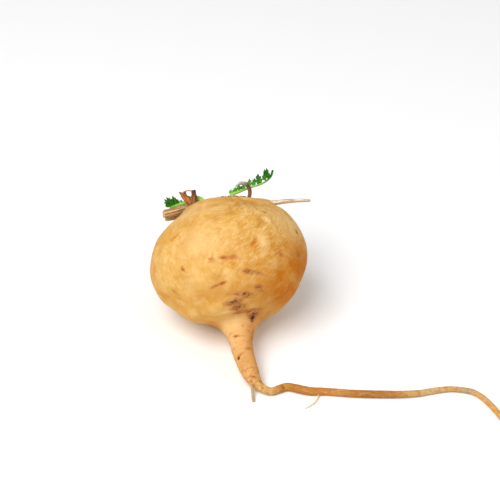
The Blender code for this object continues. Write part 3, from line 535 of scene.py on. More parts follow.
def mark_colour(paint, colour):
    """Stains and rough scabs, broken up by their own speckle. Gives the scabs' roughness and swirls too."""
    speckle = paint.math("SUBTRACT", paint.noise(0.9, 4.0, 0.7, 0.8, stretch=(1.6, 1.0, 1.0)), 0.5)
    stain = paint.math("MULTIPLY_ADD", speckle, 0.9, paint.point_value("stain"))
    colour = paint.cover(colour, srgb(178, 102, 46), stain, 0.25, 0.85, 0.85)
    colour = paint.cover(colour, srgb(112, 60, 36), stain, 0.75, 1.05, 0.75)
    scab = paint.point_value("scab")
    colour = paint.cover(colour, srgb(190, 118, 48), scab, 0.05, 0.8, 0.5)
    broken = paint.math("MULTIPLY_ADD", speckle, 1.5, scab)
    rough = paint.step(broken, 0.3, 0.95)
    swirl = paint.noise(1.25, 4.0, 0.65, 1.4, stretch=(1.4, 1.0, 1.0))
    crust = paint.ramp(swirl, ((0.3, srgb(96, 50, 28)), (0.43, srgb(146, 82, 42)), (0.5, srgb(176, 108, 62)),
                               (0.58, srgb(208, 148, 98)), (0.7, srgb(228, 184, 144))))
    colour = paint.mix(paint.times(rough, 0.85), colour, crust)
    fine = paint.noise(0.45, 3.0, 0.75, 1.2, stretch=(1.8, 1.0, 1.0))
    core = paint.times(paint.step(broken, 0.8, 1.4), paint.step(fine, 0.58, 0.45, 0.0, 0.9))
    colour = paint.mix(core, colour, srgb(62, 38, 28))
    return paint.cover(colour, srgb(64, 36, 24), scab, 1.3, 1.8, 0.75), rough, swirl


def skin_material():
    """Satin skin coloured along the root, finely wrinkled, with the marks that the mesh carries, painted shade
    and painted highlights among them.
    """
    paint = Paint("maca_skin", 0.52, 0.02)
    paint.soften(0.07, (1.0, 0.4, 0.1), 1.6)
    along = paint.point_value("along")
    patches = paint.noise(3.0, 3.0, 0.6, 0.7)
    colour = body_colour(paint, along, patches)
    colour = paint.mix(paint.step(along, 37.0, 44.0), colour, tail_colour(paint, along))
    colour = elbow_mottle(paint, colour, along)
    x, _, z = paint.node("ShaderNodeSeparateXYZ", {"Vector": paint.place}).outputs[:]
    ring_place = paint.combine(paint.times(along, 1.5), paint.times(x, 0.25), paint.times(z, 0.25))
    rings = paint.noise(1.0, 3.0, 0.6, place=ring_place)
    slender = paint.step(along, 20.0, 26.0)
    ringed = paint.times(slender, paint.step(rings, 0.46, 0.3, 0.0, 0.55))
    colour = paint.mix(ringed, colour, srgb(186, 124, 62))
    flow = paint.combine(*(paint.point_value(name) for name in ("flow_x", "flow_y", "flow_z")))
    wrinkle = paint.noise(1.0, 2.0, 0.5, 1.5, place=flow)
    wrinkled = paint.point_value("wrinkled")
    # Painted shade in the wrinkles' troughs and painted highlights on their crests.
    colour = wrinkle_shade_and_highlight(paint, colour, wrinkle, wrinkled)
    # Painted shade: a deep orange laid on the marked zones, where the root turns away from the key light.
    warm = paint.times(paint.point_value("warm"), paint.step(patches, 0.35, 0.65, 1.0, 0.8))
    colour = paint.mix(warm, colour, paint.mix(0.04, srgb(188, 104, 0), colour))
    # Pale cream: partly the skin's own pale patches, partly painted highlights.
    colour = paint.mix(paint.times(paint.point_value("pale"), 0.75), colour, srgb(238, 204, 146))
    colour, rough, swirl = mark_colour(paint, colour)
    height = paint.plus(paint.times(paint.noise(0.6, 3.0, 0.6), 0.2), paint.times(patches, 0.6),
                        paint.times(slender, rings, 1.9), paint.times(rough, swirl, 2.4),
                        paint.times(wrinkled, wrinkle, 2.0))
    return paint.finish(colour, height, 0.16, paint.step(rough, 0.0, 1.0, 0.52, 0.75))


def spine():
    """The centre line from the crown to the tail's tip: distances from the middle, points and frames."""
    straight = [tuple(BODY_CENTRE + k * AXIS) for k in SPINE_KNOTS]
    points = smooth_curve(straight + list(TAPROOT_ROUTE) + [p[:3] for p in TAIL_ROUTE], 0.25)
    return distances(points) + SPINE_KNOTS[0], points, *carried_frames(points, RIGHT)


def profile(line):
    """Rings on the root: distance along it, radius, slopes of both, and the way round the profile."""
    ball = [(-BODY_HALF_LENGTH * math.cos(math.radians(a)), BODY_RADIUS * math.sin(math.radians(a)))
            for a in range(BALL_FROM, BALL_TO + 1, BALL_STEP)]
    distance, points = line[:2]
    reached = [distance[np.argmin(np.linalg.norm(points - p[:3], axis=1))] for p in TAIL_ROUTE]
    tail = [(s, p[3]) for s, p in zip(reached, TAIL_ROUTE)]
    dense = smooth_curve(list(HOLLOW) + ball + list(NECK) + tail, 0.05)
    way = distances(dense)
    way -= way[np.argmin(dense[:, 0])]
    spacing = np.where(dense[1:, 0] > TAPROOT_FROM, SLENDER_STEP, RING_STEP)
    count = np.concatenate([[0.0], np.cumsum(np.diff(way) / spacing)])
    levels = np.linspace(0.0, count[-1], round(count[-1]) + 1)[1:]
    slopes = np.gradient(dense, way, axis=0)
    slopes /= np.linalg.norm(slopes, axis=1)[:, None]
    columns = (*dense.T, *slopes.T, way)
    return np.column_stack([np.interp(levels, count, column) for column in columns])


def ring_sides(along, way):
    """How many sides a ring has: fewer where the root is thin, and in the hollow."""
    if along > TAIL_FROM:
        return TAIL_SIDES
    if along > ELBOW_FROM:
        return ELBOW_SIDES
    if along > TAPROOT_FROM:
        return TAPROOT_SIDES
    return HOLLOW_SIDES if way < HOLLOW_TO else BODY_SIDES


def turned_places(line, along, radius, angles):
    """Places on the plain turned skin, and the directions out, round and ahead there."""
    distance, points, aheads, sides, ups = line
    middle, ahead, side, up = [np.array([np.interp(along, distance, values[:, k]) for k in range(3)])
                               for values in (points, aheads, sides, ups)]
    cosine, sine = np.cos(angles)[:, None], np.sin(angles)[:, None]
    out = cosine * side + sine * up
    around = cosine * up - sine * side
    return middle + radius * out, out, around, ahead


def skin_spot(line, outer, along, degrees):
    """One spot on the plain turned skin: its place, and the directions out, round and ahead there."""
    radius = np.interp(along, outer[:, 0], outer[:, 1])
    places, out, around, ahead = turned_places(line, along, radius, np.radians([degrees]))
    return places[0], out[0], around[0], ahead


def relief(places, radius, swells):
    """How far the skin stands out from the turned shape: broad lumps, and the swells above."""
    height = BROAD_LUMP * noise_at(places / LUMP_SIZE) * min(1.0, radius / 12.0)
    for centre, reach, rise in swells:
        height += rise * np.exp(-0.5 * (np.linalg.norm(places - centre, axis=1) / reach) ** 2)
    return height


def fine_relief(places, along, radius, angles):
    """Small lumps and creases: folds that run down from the crown, and rings round the taproot."""
    small = 0.12 * noise_at(places / 5.0, 3.0) + 0.05 * noise_at(places / 2.2, 9.0)
    small *= min(1.0, radius / 8.0)
    around = np.column_stack([11 * np.cos(angles), 11 * np.sin(angles), np.full(len(angles), along / 8.0)])
    wobble = noise_at(places / 6.0, 20.0)
    folds = noise_at(around + 0.7 * wobble[:, None], 31.0)
    facing = 0.35 + 0.65 * np.exp(-0.5 * ((np.degrees(angles) - 62) / 42) ** 2)
    fade = float(smoothstep(along, 12.0, -2.0)) * float(smoothstep(radius, 9.0, 16.0))
    folds = 0.1 * fade * facing * (np.minimum(0.15, folds) - 0.1)
    slender = float(smoothstep(along, 19.0, 25.0))
    ring_places = np.column_stack([places[:, 0] / 3.0, places[:, 2] / 3.0, np.full(len(angles), along / 0.9)])
    rings = slender * 0.018 * (1.5 + min(radius, 5.0)) * noise_at(ring_places, 47.0)
    elbow = float(smoothstep(along, 35.0, 40.0)) * float(smoothstep(along, 49.0, 45.0))
    knots = elbow * 0.13 * noise_at(places / 1.1, 61.0)
    return small + folds + rings + knots, small + 1.6 * folds + 2.0 * knots


def wrinkle_flow(along, way, angles):
    """Where the fine wrinkles run and how strong they are. They run down the body and slant at the front."""
    slant = -0.42 * np.exp(-0.5 * ((np.degrees(angles) - 72) / 24) ** 2) * along / 10.0
    turned = angles + slant
    ends = float(smoothstep(way, 2.0, 7.0)) * float(smoothstep(along, 15.0, 8.0))
    strength = 0.36 + 0.64 * np.exp(-0.5 * ((np.degrees(angles) - 60) / 30) ** 2)
    return {"flow_x": WRINKLES_ROUND * np.cos(turned), "flow_y": WRINKLES_ROUND * np.sin(turned),
            "flow_z": np.full(len(angles), way / WRINKLE_RUN), "wrinkled": ends * strength}


def all_marks(line, outer):
    """The marks above and the random specks: each one's place, three ways from it, reach, relief and look."""
    draw = random.Random(SEED)
    marks = [(kind, *row) for kind, rows in MARKS.items() for row in rows]
    wanted = len(marks) + SPECKS
    while len(marks) < wanted:
        along, degrees = draw.uniform(-14.0, 40.0), draw.uniform(0.0, 360.0)
        half_length = draw.uniform(0.25, 0.75)
        half_width = half_length * draw.uniform(0.3, 0.8)
        tilt = draw.uniform(-25, 25)
        kind = draw.choice(("stain", "stain", "scab"))
        strength = draw.uniform(0.4, 0.9)
        if along > 24.0 or not 25 < degrees < 155:
            marks.append((kind, along, degrees, half_length, half_width, tilt, -0.08, strength))
    placed = []
    for kind, along, degrees, half_length, half_width, tilt, rise, strength in marks:
        place, out, around, ahead = skin_spot(line, outer, along, degrees)
        slope = np.interp(along, outer[:, 0], outer[:, 3])
        down = ahead * math.sqrt(max(0.0, 1 - slope**2)) + out * slope
        turn = math.radians(tilt)
        reach = max(half_length, half_width)
        ways = np.column_stack([(math.cos(turn) * around + math.sin(turn) * down) / half_length,
                                (math.cos(turn) * down - math.sin(turn) * around) / half_width, out / reach])
        placed.append((place, ways, reach, rise, kind, strength))
    return placed


def apply_marks(places, marks, values):
    """Adds each mark's strength to the point values, and returns its relief."""
    height = np.zeros(len(places))
    for centre, ways, reach, rise, kind, strength in marks:
        away = places - centre
        near = np.linalg.norm(away, axis=1) < 3.0 * reach
        if not near.any():
            continue
        off = np.linalg.norm(away[near] @ ways, axis=1)
        soft = np.exp(-off**2)
        level = soft if kind in ("warm", "pale") else np.maximum(0.0, 1.0 - 0.45 * off)
        values[kind][near] = np.maximum(values[kind][near], strength * level)
        height[near] += rise * soft
    return height


def joined_rings(counts):
    """Faces between rings of these side counts, each the same as the one before, twice it or half of it."""
    starts = np.concatenate([[0], np.cumsum(counts)]).tolist()
    faces = []
    for i in range(len(counts) - 1):
        near, far, a, b = counts[i], counts[i + 1], starts[i], starts[i + 1]
        if near == far:
            faces += [(a + k, a + (k + 1) % near, b + (k + 1) % near, b + k) for k in range(near)]
            continue
        fine, fine_at, coarse, coarse_at = (near, a, far, b) if near > far else (far, b, near, a)
        for k in range(coarse):
            left, middle, right = (fine_at + (2 * k + j) % fine for j in range(3))
            low, high = coarse_at + k, coarse_at + (k + 1) % coarse
            faces += [(left, middle, low), (middle, high, low), (middle, right, high)]
    for pole, (start, count) in enumerate(((starts[0], counts[0]), (starts[-2], counts[-1])), starts[-1]):
        faces += [(start + k, start + (k + 1) % count, pole) for k in range(count)]
    return faces


def add_rootlets(shape):
    """The cut rootlet at the elbow and the hair on the tail."""
    for route, sides, pale in ((CUT_ROOTLET, 16, 0.0), (HAIR_ROOTLET, 10, 1.0)):
        points = smooth_curve(route, 0.3)
        _, side, up = carried_frames(points[:, :3], (1, 0, 0))
        cosine, sine = [part(turn_angles(sides))[:, None] for part in (np.cos, np.sin)]
        offsets = points[:, 3:, None] * (cosine * side[:, None] + sine * up[:, None])
        shape.tube(points[:, None, :3] + offsets, along=ROOTLET_TONE_AT, pale=pale)


def build_root():
    """The body, taproot and tail in one skin, with two rootlets."""
    line = spine()
    rings = profile(line)
    outer = rings[rings[:, 4] > 0.0]
    swells = [(skin_spot(line, outer, along, degrees)[0], reach, rise)
              for along, degrees, reach, rise in SWELLS]
    marks = all_marks(line, outer)
    skin, held = [], []
    for along, radius, step_along, step_out, way in rings.tolist():
        angles = turn_angles(ring_sides(along, way))
        places, out, _, ahead = turned_places(line, along, radius, angles)
        outward = step_along * out - step_out * ahead
        fade = min(1.0, max(0.0, (way + RIM_FADE) / (2 * RIM_FADE)))
        values = {kind: np.zeros(len(angles)) for kind in MARKS}
        fine, crease_shade = fine_relief(places, along, radius, angles)
        height = fade * (relief(places, radius, swells) + fine) + apply_marks(places, marks, values)
        places = places + height[:, None] * outward
        places[:, 2] = np.maximum(places[:, 2], 0.0)
        skin.append(places)
        # The sunken fine relief sets the painted shade in the creases.
        held.append({"along": np.full(len(angles), along), "crease_shade": np.clip(-4.0 * crease_shade, 0.0, 0.8),
                     **wrinkle_flow(along, way, angles), **values})
    poles = np.array([skin[0].mean(axis=0), skin[-1].mean(axis=0)])
    flat = {name: np.concatenate([values[name] for values in held] + [[held[0][name][0], held[-1][name][0]]])
            for name in held[0]}
    shape = Shape(*flat)
    shape.add(np.concatenate(skin + [poles]), joined_rings([len(ring) for ring in skin]), **flat)
    add_rootlets(shape)
    piece("root_skin", shape, skin_material(), "skin", "root")


def fibrous(paint, thickness, run=9.0, twist=0.3):
    """Noise drawn out along a stalk or bract, whose points say how far they are off its line and along it."""
    side, rise, way = [paint.point_value(name) for name in ("side", "rise", "way")]
    place = paint.combine(side, rise, paint.math("MULTIPLY", way, thickness / run))
    return paint.noise(thickness, 3.0, 0.6, twist, place=place)


def bract_material():
    """Dry papery leaf bases, from dark reddish brown through grey brown to pale straw."""
    paint = Paint("dry_bract", 0.8, 0.2)
    fibre = fibrous(paint, 0.16)
    tone = paint.varied(paint.point_value("tone"), paint.noise(1.6, 3.0, 0.6), 0.3)
    colour = paint.ramp(tone, ((0.0, srgb(66, 38, 24)), (0.2, srgb(112, 68, 42)), (0.42, srgb(150, 108, 68)),
                               (0.62, srgb(184, 146, 102)), (0.8, srgb(214, 184, 140)),
                               (1.0, srgb(236, 220, 188))))
    dark = paint.mix(0.6, colour, srgb(60, 38, 28))
    light = paint.mix(0.45, colour, srgb(236, 220, 190))
    colour = paint.cover(colour, dark, fibre, 0.5, 0.3, 0.8)
    colour = paint.cover(colour, light, fibre, 0.55, 0.75, 0.7)
    return paint.finish(colour, fibre, 0.12)


def stalk_material(name):
    """A dry stalk with streaks along it, an end of its own colour, and painted shade in the streaks' colour on
    its underside.
    """
    *colours, underside_shade = STALK_LOOKS[name]
    base, streak, light, cut = (srgb(*colour) for colour in colours)
    paint = Paint(name, 0.72, 0.25)
    fine, broad = fibrous(paint, 0.14), fibrous(paint, 0.55, 5.0)
    colour = paint.cover(base, streak, broad, 0.42, 0.6)
    colour = paint.cover(colour, light, fine, 0.56, 0.7, 0.75)
    colour = paint.cover(colour, paint.mix(0.6, streak, srgb(50, 26, 14)), fine, 0.44, 0.28, 0.6)
    # Painted shade: the streaks' colour over the stalk's underside.
    colour = paint.cover(colour, streak, paint.point_value("rise"), -0.1, -0.45, underside_shade)
    end = paint.mix(paint.step(paint.noise(0.25, 3.0, 0.6), 0.4, 0.62), cut,
                    paint.mix(0.6, cut, srgb(120, 70, 40)))
    ended = paint.math("MAXIMUM", paint.point_value("cut"), paint.point_value("tone"))
    colour = paint.mix(ended, colour, end)
    return paint.finish(colour, paint.plus(fine, paint.times(broad, 0.8)), 0.12)


def leaf_material():
    """Fresh green, from a lime stalk to dark leaflets, with finer veins and a few dry tips."""
    paint = Paint("fresh_leaf", 0.5, 0.1)
    paint.soften(0.05, (0.3, 1.0, 0.1), 0.6)
    fibre = fibrous(paint, 0.2)
    tone = paint.varied(paint.point_value("tone"), paint.noise(0.9, 3.0, 0.6), 0.5)
    colour = paint.ramp(tone, ((0.0, srgb(178, 212, 116)), (0.25, srgb(140, 196, 72)),
                               (0.5, srgb(92, 168, 30)), (0.75, srgb(54, 138, 12)), (1.0, srgb(22, 96, 4))))
    vein = paint.mix(0.5, colour, srgb(196, 222, 130))
    colour = paint.cover(colour, vein, fibre, 0.52, 0.72, 0.5)
    colour = paint.cover(colour, srgb(84, 58, 30), paint.point_value("dry"), 0.3, 0.8, 0.9)
    return paint.finish(colour, fibre, 0.1)


def heart_material():
    """The granular growing point: mustard yellow grains with brown between them."""
    paint = Paint("crown_heart_paint", 0.65, 0.3)
    grain = paint.node("ShaderNodeTexVoronoi", {"Vector": paint.place, "Scale": 2.2}).outputs["Distance"]
    fine = paint.noise(0.3, 3.0, 0.65)
    level = paint.varied(paint.point_value("tone"), fine, 0.7)
    colour = paint.ramp(level, ((0.0, srgb(92, 60, 18)), (0.3, srgb(156, 116, 24)),
                                (0.55, srgb(206, 168, 36)), (0.8, srgb(218, 196, 66)),
                                (1.0, srgb(232, 220, 110))))
    colour = paint.cover(colour, srgb(120, 78, 24), grain, 0.55, 0.9, 0.5)
    return paint.finish(colour, paint.plus(fine, grain), 0.2)


def bud_material():
    """Yellowish green at the bud's foot and lime green above, with pale veins."""
    paint = Paint("lime_bud", 0.4, 0.4)
    fibre = fibrous(paint, 0.18)
    colour = paint.mix(paint.point_value("tone"), srgb(206, 206, 96), srgb(128, 186, 40))
    colour = paint.cover(colour, srgb(214, 226, 130), fibre, 0.5, 0.75, 0.5)
    return paint.finish(colour, fibre, 0.1)


def stations(points):
    """Distance and share of the way at each of a line's points."""
    way = distances(points)
    return way, way / way[-1]


def ragged(way, pace, seed, depth):
    """Factors that make a blade's width uneven along its way."""
    return 1.0 + depth * np.array([noise.noise(Vector((w * pace, seed, 0))) for w in way])


def ribbon(shape, points, half_widths, acrosses, cup, thickness, columns=7, **values):
    """A thin closed blade along a line of places in the crown's frame, cupped across."""
    aheads = np.gradient(points, axis=0)
    outs = np.cross(aheads, acrosses)
    outs /= np.linalg.norm(outs, axis=1)[:, None]
    u = np.linspace(-1.0, 1.0, columns)
    width = np.asarray(half_widths)[:, None]
    lift = np.broadcast_to(np.asarray(cup), (len(points),))[:, None] * width * (u**2 - 0.4)
    middle = points[:, None] + (width * u)[:, :, None] * acrosses[:, None] + lift[:, :, None] * outs[:, None]
    half = 0.5 * thickness * (1.0 - 0.6 * u**2)[None, :, None] * outs[:, None]
    rings = np.concatenate([middle + half, (middle - half)[:, ::-1]], axis=1)
    side = width * np.concatenate([u, u[::-1]])
    shape.tube(to_row(rings), side=side, way=stations(points)[0][:, None], **values)


def rod(shape, route, step, sides, section=None, cut=0.0, start=(0, 1, 0), tones=None, **values):
    """A rod in the crown's frame. The section gives each angle's radius factor at each share of the way.

    Tones are shares of the way, and the tone at each of them.
    """
    points = smooth_curve(route, step)
    places, radii = points[:, :3], points[:, 3]
    ahead, side, up = carried_frames(places, start)
    way, share = stations(places)
    angles = turn_angles(sides)
    factor = np.ones((len(points), sides)) if section is None else section(angles, way, share)
    if cut:
        for shrink, on in CUT_END:
            places = np.vstack([places, places[-1] + on * ahead[-1]])
            factor = np.vstack([factor, shrink * factor[len(points) - 1]])
        ahead, side, up, radii, way = (np.append(v, [v[-1]] * len(CUT_END), axis=0)
                                       for v in (ahead, side, up, radii, way))
    off_side = radii[:, None] * factor * np.cos(angles)
    off_up = radii[:, None] * factor * np.sin(angles)
    rings = places[:, None] + off_side[:, :, None] * side[:, None] + off_up[:, :, None] * up[:, None]
    ends = np.zeros((len(places), 1))
    ends[len(points):] = cut
    if tones:
        values["tone"] = np.interp(way / way[-1], *tones)[:, None]
    shape.tube(to_row(rings), side=off_side, rise=off_up, way=way[:, None], cut=ends, **values)


def turned_ring(radius, angles, height):
    """Places round an upright axis at one height, in the crown's frame."""
    return np.column_stack([radius * np.cos(angles), radius * np.sin(angles), np.full(len(angles), height)])


def ridged(draw, flat, depth):
    """A section with uneven ridges along it, wider one way than the other."""
    seed = draw.uniform(0, 50)

    def section(angles, way, share):
        round_way = [(2.4 * math.cos(a), 2.4 * math.sin(a)) for a in angles]
        grid = np.array([[noise.noise(Vector((x, y, w / 7 + seed))) for x, y in round_way] for w in way])
        oval = 1.0 / np.sqrt(np.cos(angles)**2 / flat**2 + np.sin(angles)**2 * flat**2)
        return oval[None, :] * (1.0 + depth * grid)

    return section


def ceiling(x, y):
    """How high a bract may reach at this place, so that the rim hides it from the front."""
    return BRACT_CEILING + CEILING_SLOPE * y - CEILING_FALL * (x - 1.0)**2


def bract_path(angle, ring_radius, lean, length):
    """Four places along a bract that leaves the bed, leans out and bends over, kept clear of the rim."""
    out = Vector((math.cos(angle), math.sin(angle), 0))
    place = ring_radius * out + Vector((0, 0, BRACT_FOOT))
    path = []
    for step, bend in BRACT_STEPS:
        tilt = math.radians(lean + bend)
        place = place + length * step * (math.sin(tilt) * out + Vector((0, 0, math.cos(tilt))))
        place.z = min(place.z, ceiling(place.x, place.y))
        flat = math.hypot(place.x, place.y)
        if place.z < RIM_TOP and flat > RIM_REACH:
            place = Vector((place.x * RIM_REACH / flat, place.y * RIM_REACH / flat, place.z))
        path.append(place)
    return path


def bract_acrosses(points, foot, turns):
    """The way across a bract at each of its points, turned about its line by the angles given."""
    away = Vector((foot[0], foot[1], 0)).normalized() + Vector((0, 0, 0.05))
    acrosses = []
    for along, turn in zip(np.gradient(points, axis=0), turns):
        ahead = Vector(along).normalized()
        across = ahead.cross(away).normalized()
        acrosses.append(tuple(math.cos(turn) * across + math.sin(turn) * ahead.cross(across)))
    return np.array(acrosses)


def bract(shape, path, broad, turn, tone, cup, draw):
    """One papery leaf base with a ragged edge, twisted a little on its way to a pointed tip."""
    points = smooth_curve([tuple(p) for p in path], 0.42)
    way, share = stations(points)
    acrosses = bract_acrosses(points, path[0], turn + draw.uniform(-0.5, 0.5) * share)
    widths = broad / 2 * np.interp(share, (0, 0.15, 0.38, 0.7, 0.92, 1), (0.7, 0.85, 1.0, 0.68, 0.25, 0.05))
    widths *= ragged(way, 1.7, draw.uniform(0, 100), 0.22)
    ribbon(shape, points, widths, acrosses, cup * (0.6 + 0.8 * share), 0.14,
           tone=tone - 0.18 + 0.25 * share[:, None])


def pale_bract(shape):
    """The one big pale bract, behind the heart and to its left."""
    points = smooth_curve(PALE_BRACT, 0.3)
    share = stations(points)[1]
    acrosses = bract_acrosses(points, PALE_BRACT[0], [PALE_BRACT_TURN] * len(points))
    widths = PALE_BRACT_HALF_WIDTH * np.interp(share, (0, 0.2, 0.45, 0.75, 1), (0.45, 0.8, 1.0, 0.62, 0.03))
    ribbon(shape, points, widths, acrosses, 0.35, 0.2, 11, tone=0.98)


def dry_fibre(shape, foot, direction, length, radius, tone, draw):
    """One short dry fibre that curls on its way out."""
    first = Vector(direction).normalized()
    curl = Vector([draw.uniform(-1, 1) for _ in range(3)]) * 0.5
    places = [Vector(foot)]
    for step in range(4):
        places.append(places[-1] + length / 4 * (first + curl * (step / 3)).normalized())
    route = [(*p, radius * r) for p, r in zip(places, (1.0, 1.0, 0.85, 0.6, 0.2))]
    rod(shape, route, length / 5, 4, tone=tone)


def dry_fibres(shape, draw):
    """All the fibres, kept below the ceiling."""
    for _ in range(FIBRES):
        angle = draw.uniform(0, 2 * math.pi)
        radius = draw.choice((draw.uniform(8.6, 11.0), draw.uniform(10.2, 11.5), draw.uniform(4.0, 10.0)))
        foot = (radius * math.cos(angle), radius * math.sin(angle), FIBRE_FOOT + FIBRE_SLOPE * radius)
        spin = draw.gauss(0, 0.9)
        lean = draw.uniform(0.15, 0.9) if radius < 10 else draw.uniform(-0.3, 0.5)
        out = (math.cos(angle + spin) * lean, math.sin(angle + spin) * lean, 1.0)
        room = ceiling(foot[0], foot[1]) - 0.5 - foot[2]
        length = min(draw.uniform(1.2, 2.6), max(0.4, room))
        tone = draw.choice((0.08, 0.15, 0.25, 0.35, 0.6, 0.75))
        dry_fibre(shape, foot, out, length, draw.uniform(0.09, 0.2), tone, draw)


def tuft_bed(shape):
    """The bed between the bracts: a rough dark dish, closed below."""
    top = smooth_curve(TUFT_TOP, 0.35).tolist()
    angles = turn_angles(96)
    rings = []
    for index, (radius, height) in enumerate((top + list(TUFT_UNDER))[1:-1]):
        ring = turned_ring(radius, angles, height)
        if index < len(top) - 1:
            ring[:, 2] += 0.3 * noise_at(ring / 0.8) * min(1.0, radius / 2)
        rings.append(ring)
    shape.tube(to_row(rings), tone=0.2)


def build_tuft():
    """The bed, its papery bracts in the places of the solid ones, loose bracts between them, and fibres."""
    shape = Shape("tone", "side", "rise", "way")
    tuft_bed(shape)
    draw, looks = random.Random(SEED), random.Random(SEED + 1)
    for ring, (count, ring_radius, lean, length, width) in enumerate(BRACT_RINGS):
        for k in range(count):
            angle = 2 * math.pi * (k + draw.uniform(-0.3, 0.3)) / count
            path = bract_path(angle, ring_radius + draw.uniform(-0.4, 0.4), lean + draw.uniform(-9, 9),
                              length * draw.uniform(0.75, 1.15))
            broad = width * draw.uniform(0.8, 1.15) * (0.8 if ring == 0 else 1.1)
            turn = math.radians(draw.uniform(-25, 25))
            tone = looks.uniform(0.2, 0.5) if ring == 0 else looks.uniform(0.38, 0.85)
            bract(shape, path, broad, turn, tone, looks.uniform(0.2, 1.0), looks)
    for _ in range(LOOSE_BRACTS):
        angle, radius = looks.uniform(0, 2 * math.pi), looks.uniform(4.0, 10.3)
        path = bract_path(angle, radius, looks.uniform(15, 58), looks.uniform(2.4, 4.6))
        bract(shape, path, looks.uniform(0.9, 2.0), math.radians(looks.uniform(-45, 45)),
              looks.choice((0.3, 0.45, 0.55, 0.7, 0.85, 1.0)), looks.uniform(0.3, 1.3), looks)
    pale_bract(shape)
    dry_fibres(shape, looks)
    piece("crown_tuft_dry", shape, bract_material(), "dry_bract", "crown_tuft")


def build_heart():
    """The heart: a low dome of grains, with crumbs on them."""
    shape = Shape("tone")
    angles = turn_angles(96)
    rings, tones = [], []
    for polar in np.linspace(0.0, math.pi, 57)[1:-1]:
        unit = turned_ring(math.sin(polar), angles, math.cos(polar))
        spots = [Vector(place) * HEART_RADIUS for place in unit.tolist()]
        lift = np.array([GRAIN_HEIGHT * max(-0.6, 0.45 - noise.voronoi(spot / GRAIN_SIZE)[0][0])
                         for spot in spots])
        crumb = np.array([0.1 * (0.5 - noise.voronoi(spot / CRUMB_SIZE)[0][0]) for spot in spots])
        size = np.array([HEART_RADIUS, HEART_RADIUS, HEART_HEIGHT]) + (lift + crumb)[:, None]
        rings.append(np.array(HEART_CENTRE) + unit * size)
        tones.append(0.55 + 1.6 * lift + 2.0 * crumb)
    shape.tube(to_row(rings), tone=np.array(tones))
    piece("crown_heart_grains", shape, heart_material(), "heart", "crown_heart")


def build_bud():
    """The small folded leaf bud beside the heart."""
    shape = Shape("tone", "side", "rise", "way")
    profile = smooth_curve(BUD_PROFILE, 0.09)[1:-1]
    angles = turn_angles(36)
    offsets = []
    for radius, height in profile.tolist():
        folds = np.abs(np.sin(2.5 * angles + 0.5 * height)) * min(1.0, max(0.0, height))
        offsets.append(turned_ring(radius * (1.0 - 0.16 * folds), angles, height))
    side, rise, way = np.moveaxis(offsets, 2, 0)
    tone = 0.2 + 0.27 * profile[:, 1:]
    shape.tube(to_row(np.array(BUD_BASE) + offsets), tone=tone, side=side, rise=rise, way=way)
    piece("lime_bud", shape, bud_material(), "bud", "leaf_bud")


def leaf_lobe(shape, base, ahead, across, flat, length, width, bend, tone, dry=0.0):
    """One finger of a leaflet: a slim flat blade with a round tip, bent a little to one side."""
    t = np.linspace(0.0, 1.0, 9)
    points = base + length * (t[:, None] * ahead + bend * (t**2)[:, None] * flat)
    half = width / 2 * np.interp(t, (0, 0.2, 0.45, 0.75, 0.92, 1), (0.55, 0.85, 1.0, 0.78, 0.42, 0.06))
    angles = turn_angles(10)
    side = half[:, None] * np.cos(angles)
    rise = 0.32 * half[:, None] * np.sin(angles) + 0.25 * half[:, None] * np.cos(angles)**2
    rings = points[:, None] + side[:, :, None] * across + rise[:, :, None] * flat
    shape.tube(to_row(rings), side=side, rise=rise, way=(length * t)[:, None],
               tone=(tone + 0.25 * (t - 0.4))[:, None], dry=(dry * t**2)[:, None])


def leaflet(shape, base, ahead, flat, length, tone, draw, dry):
    """A leaflet cut into fingers: one long, with shorter ones on each side."""
    across = np.cross(flat, ahead)
    bend = draw.uniform(-0.1, 0.2)
    leaf_lobe(shape, base, ahead, across, flat, length, 0.23 * length + 0.16, bend, tone, dry)
    for side in (-1, 1):
        for start, turn, share in ((0.14, 38, 0.5), (0.42, 30, 0.42)):
            angle = math.radians(turn + draw.uniform(-8, 8)) * side
            way = math.cos(angle) * ahead + math.sin(angle) * across
            lobe_length = length * share * draw.uniform(0.8, 1.15)
            bend = draw.uniform(-0.1, 0.25)
            lobe_tone = tone + draw.uniform(-0.12, 0.12)
            leaf_lobe(shape, base + start * length * ahead, way, np.cross(flat, way), flat, lobe_length,
                      0.16 * length + 0.12, bend, lobe_tone, dry * draw.uniform(0, 1))


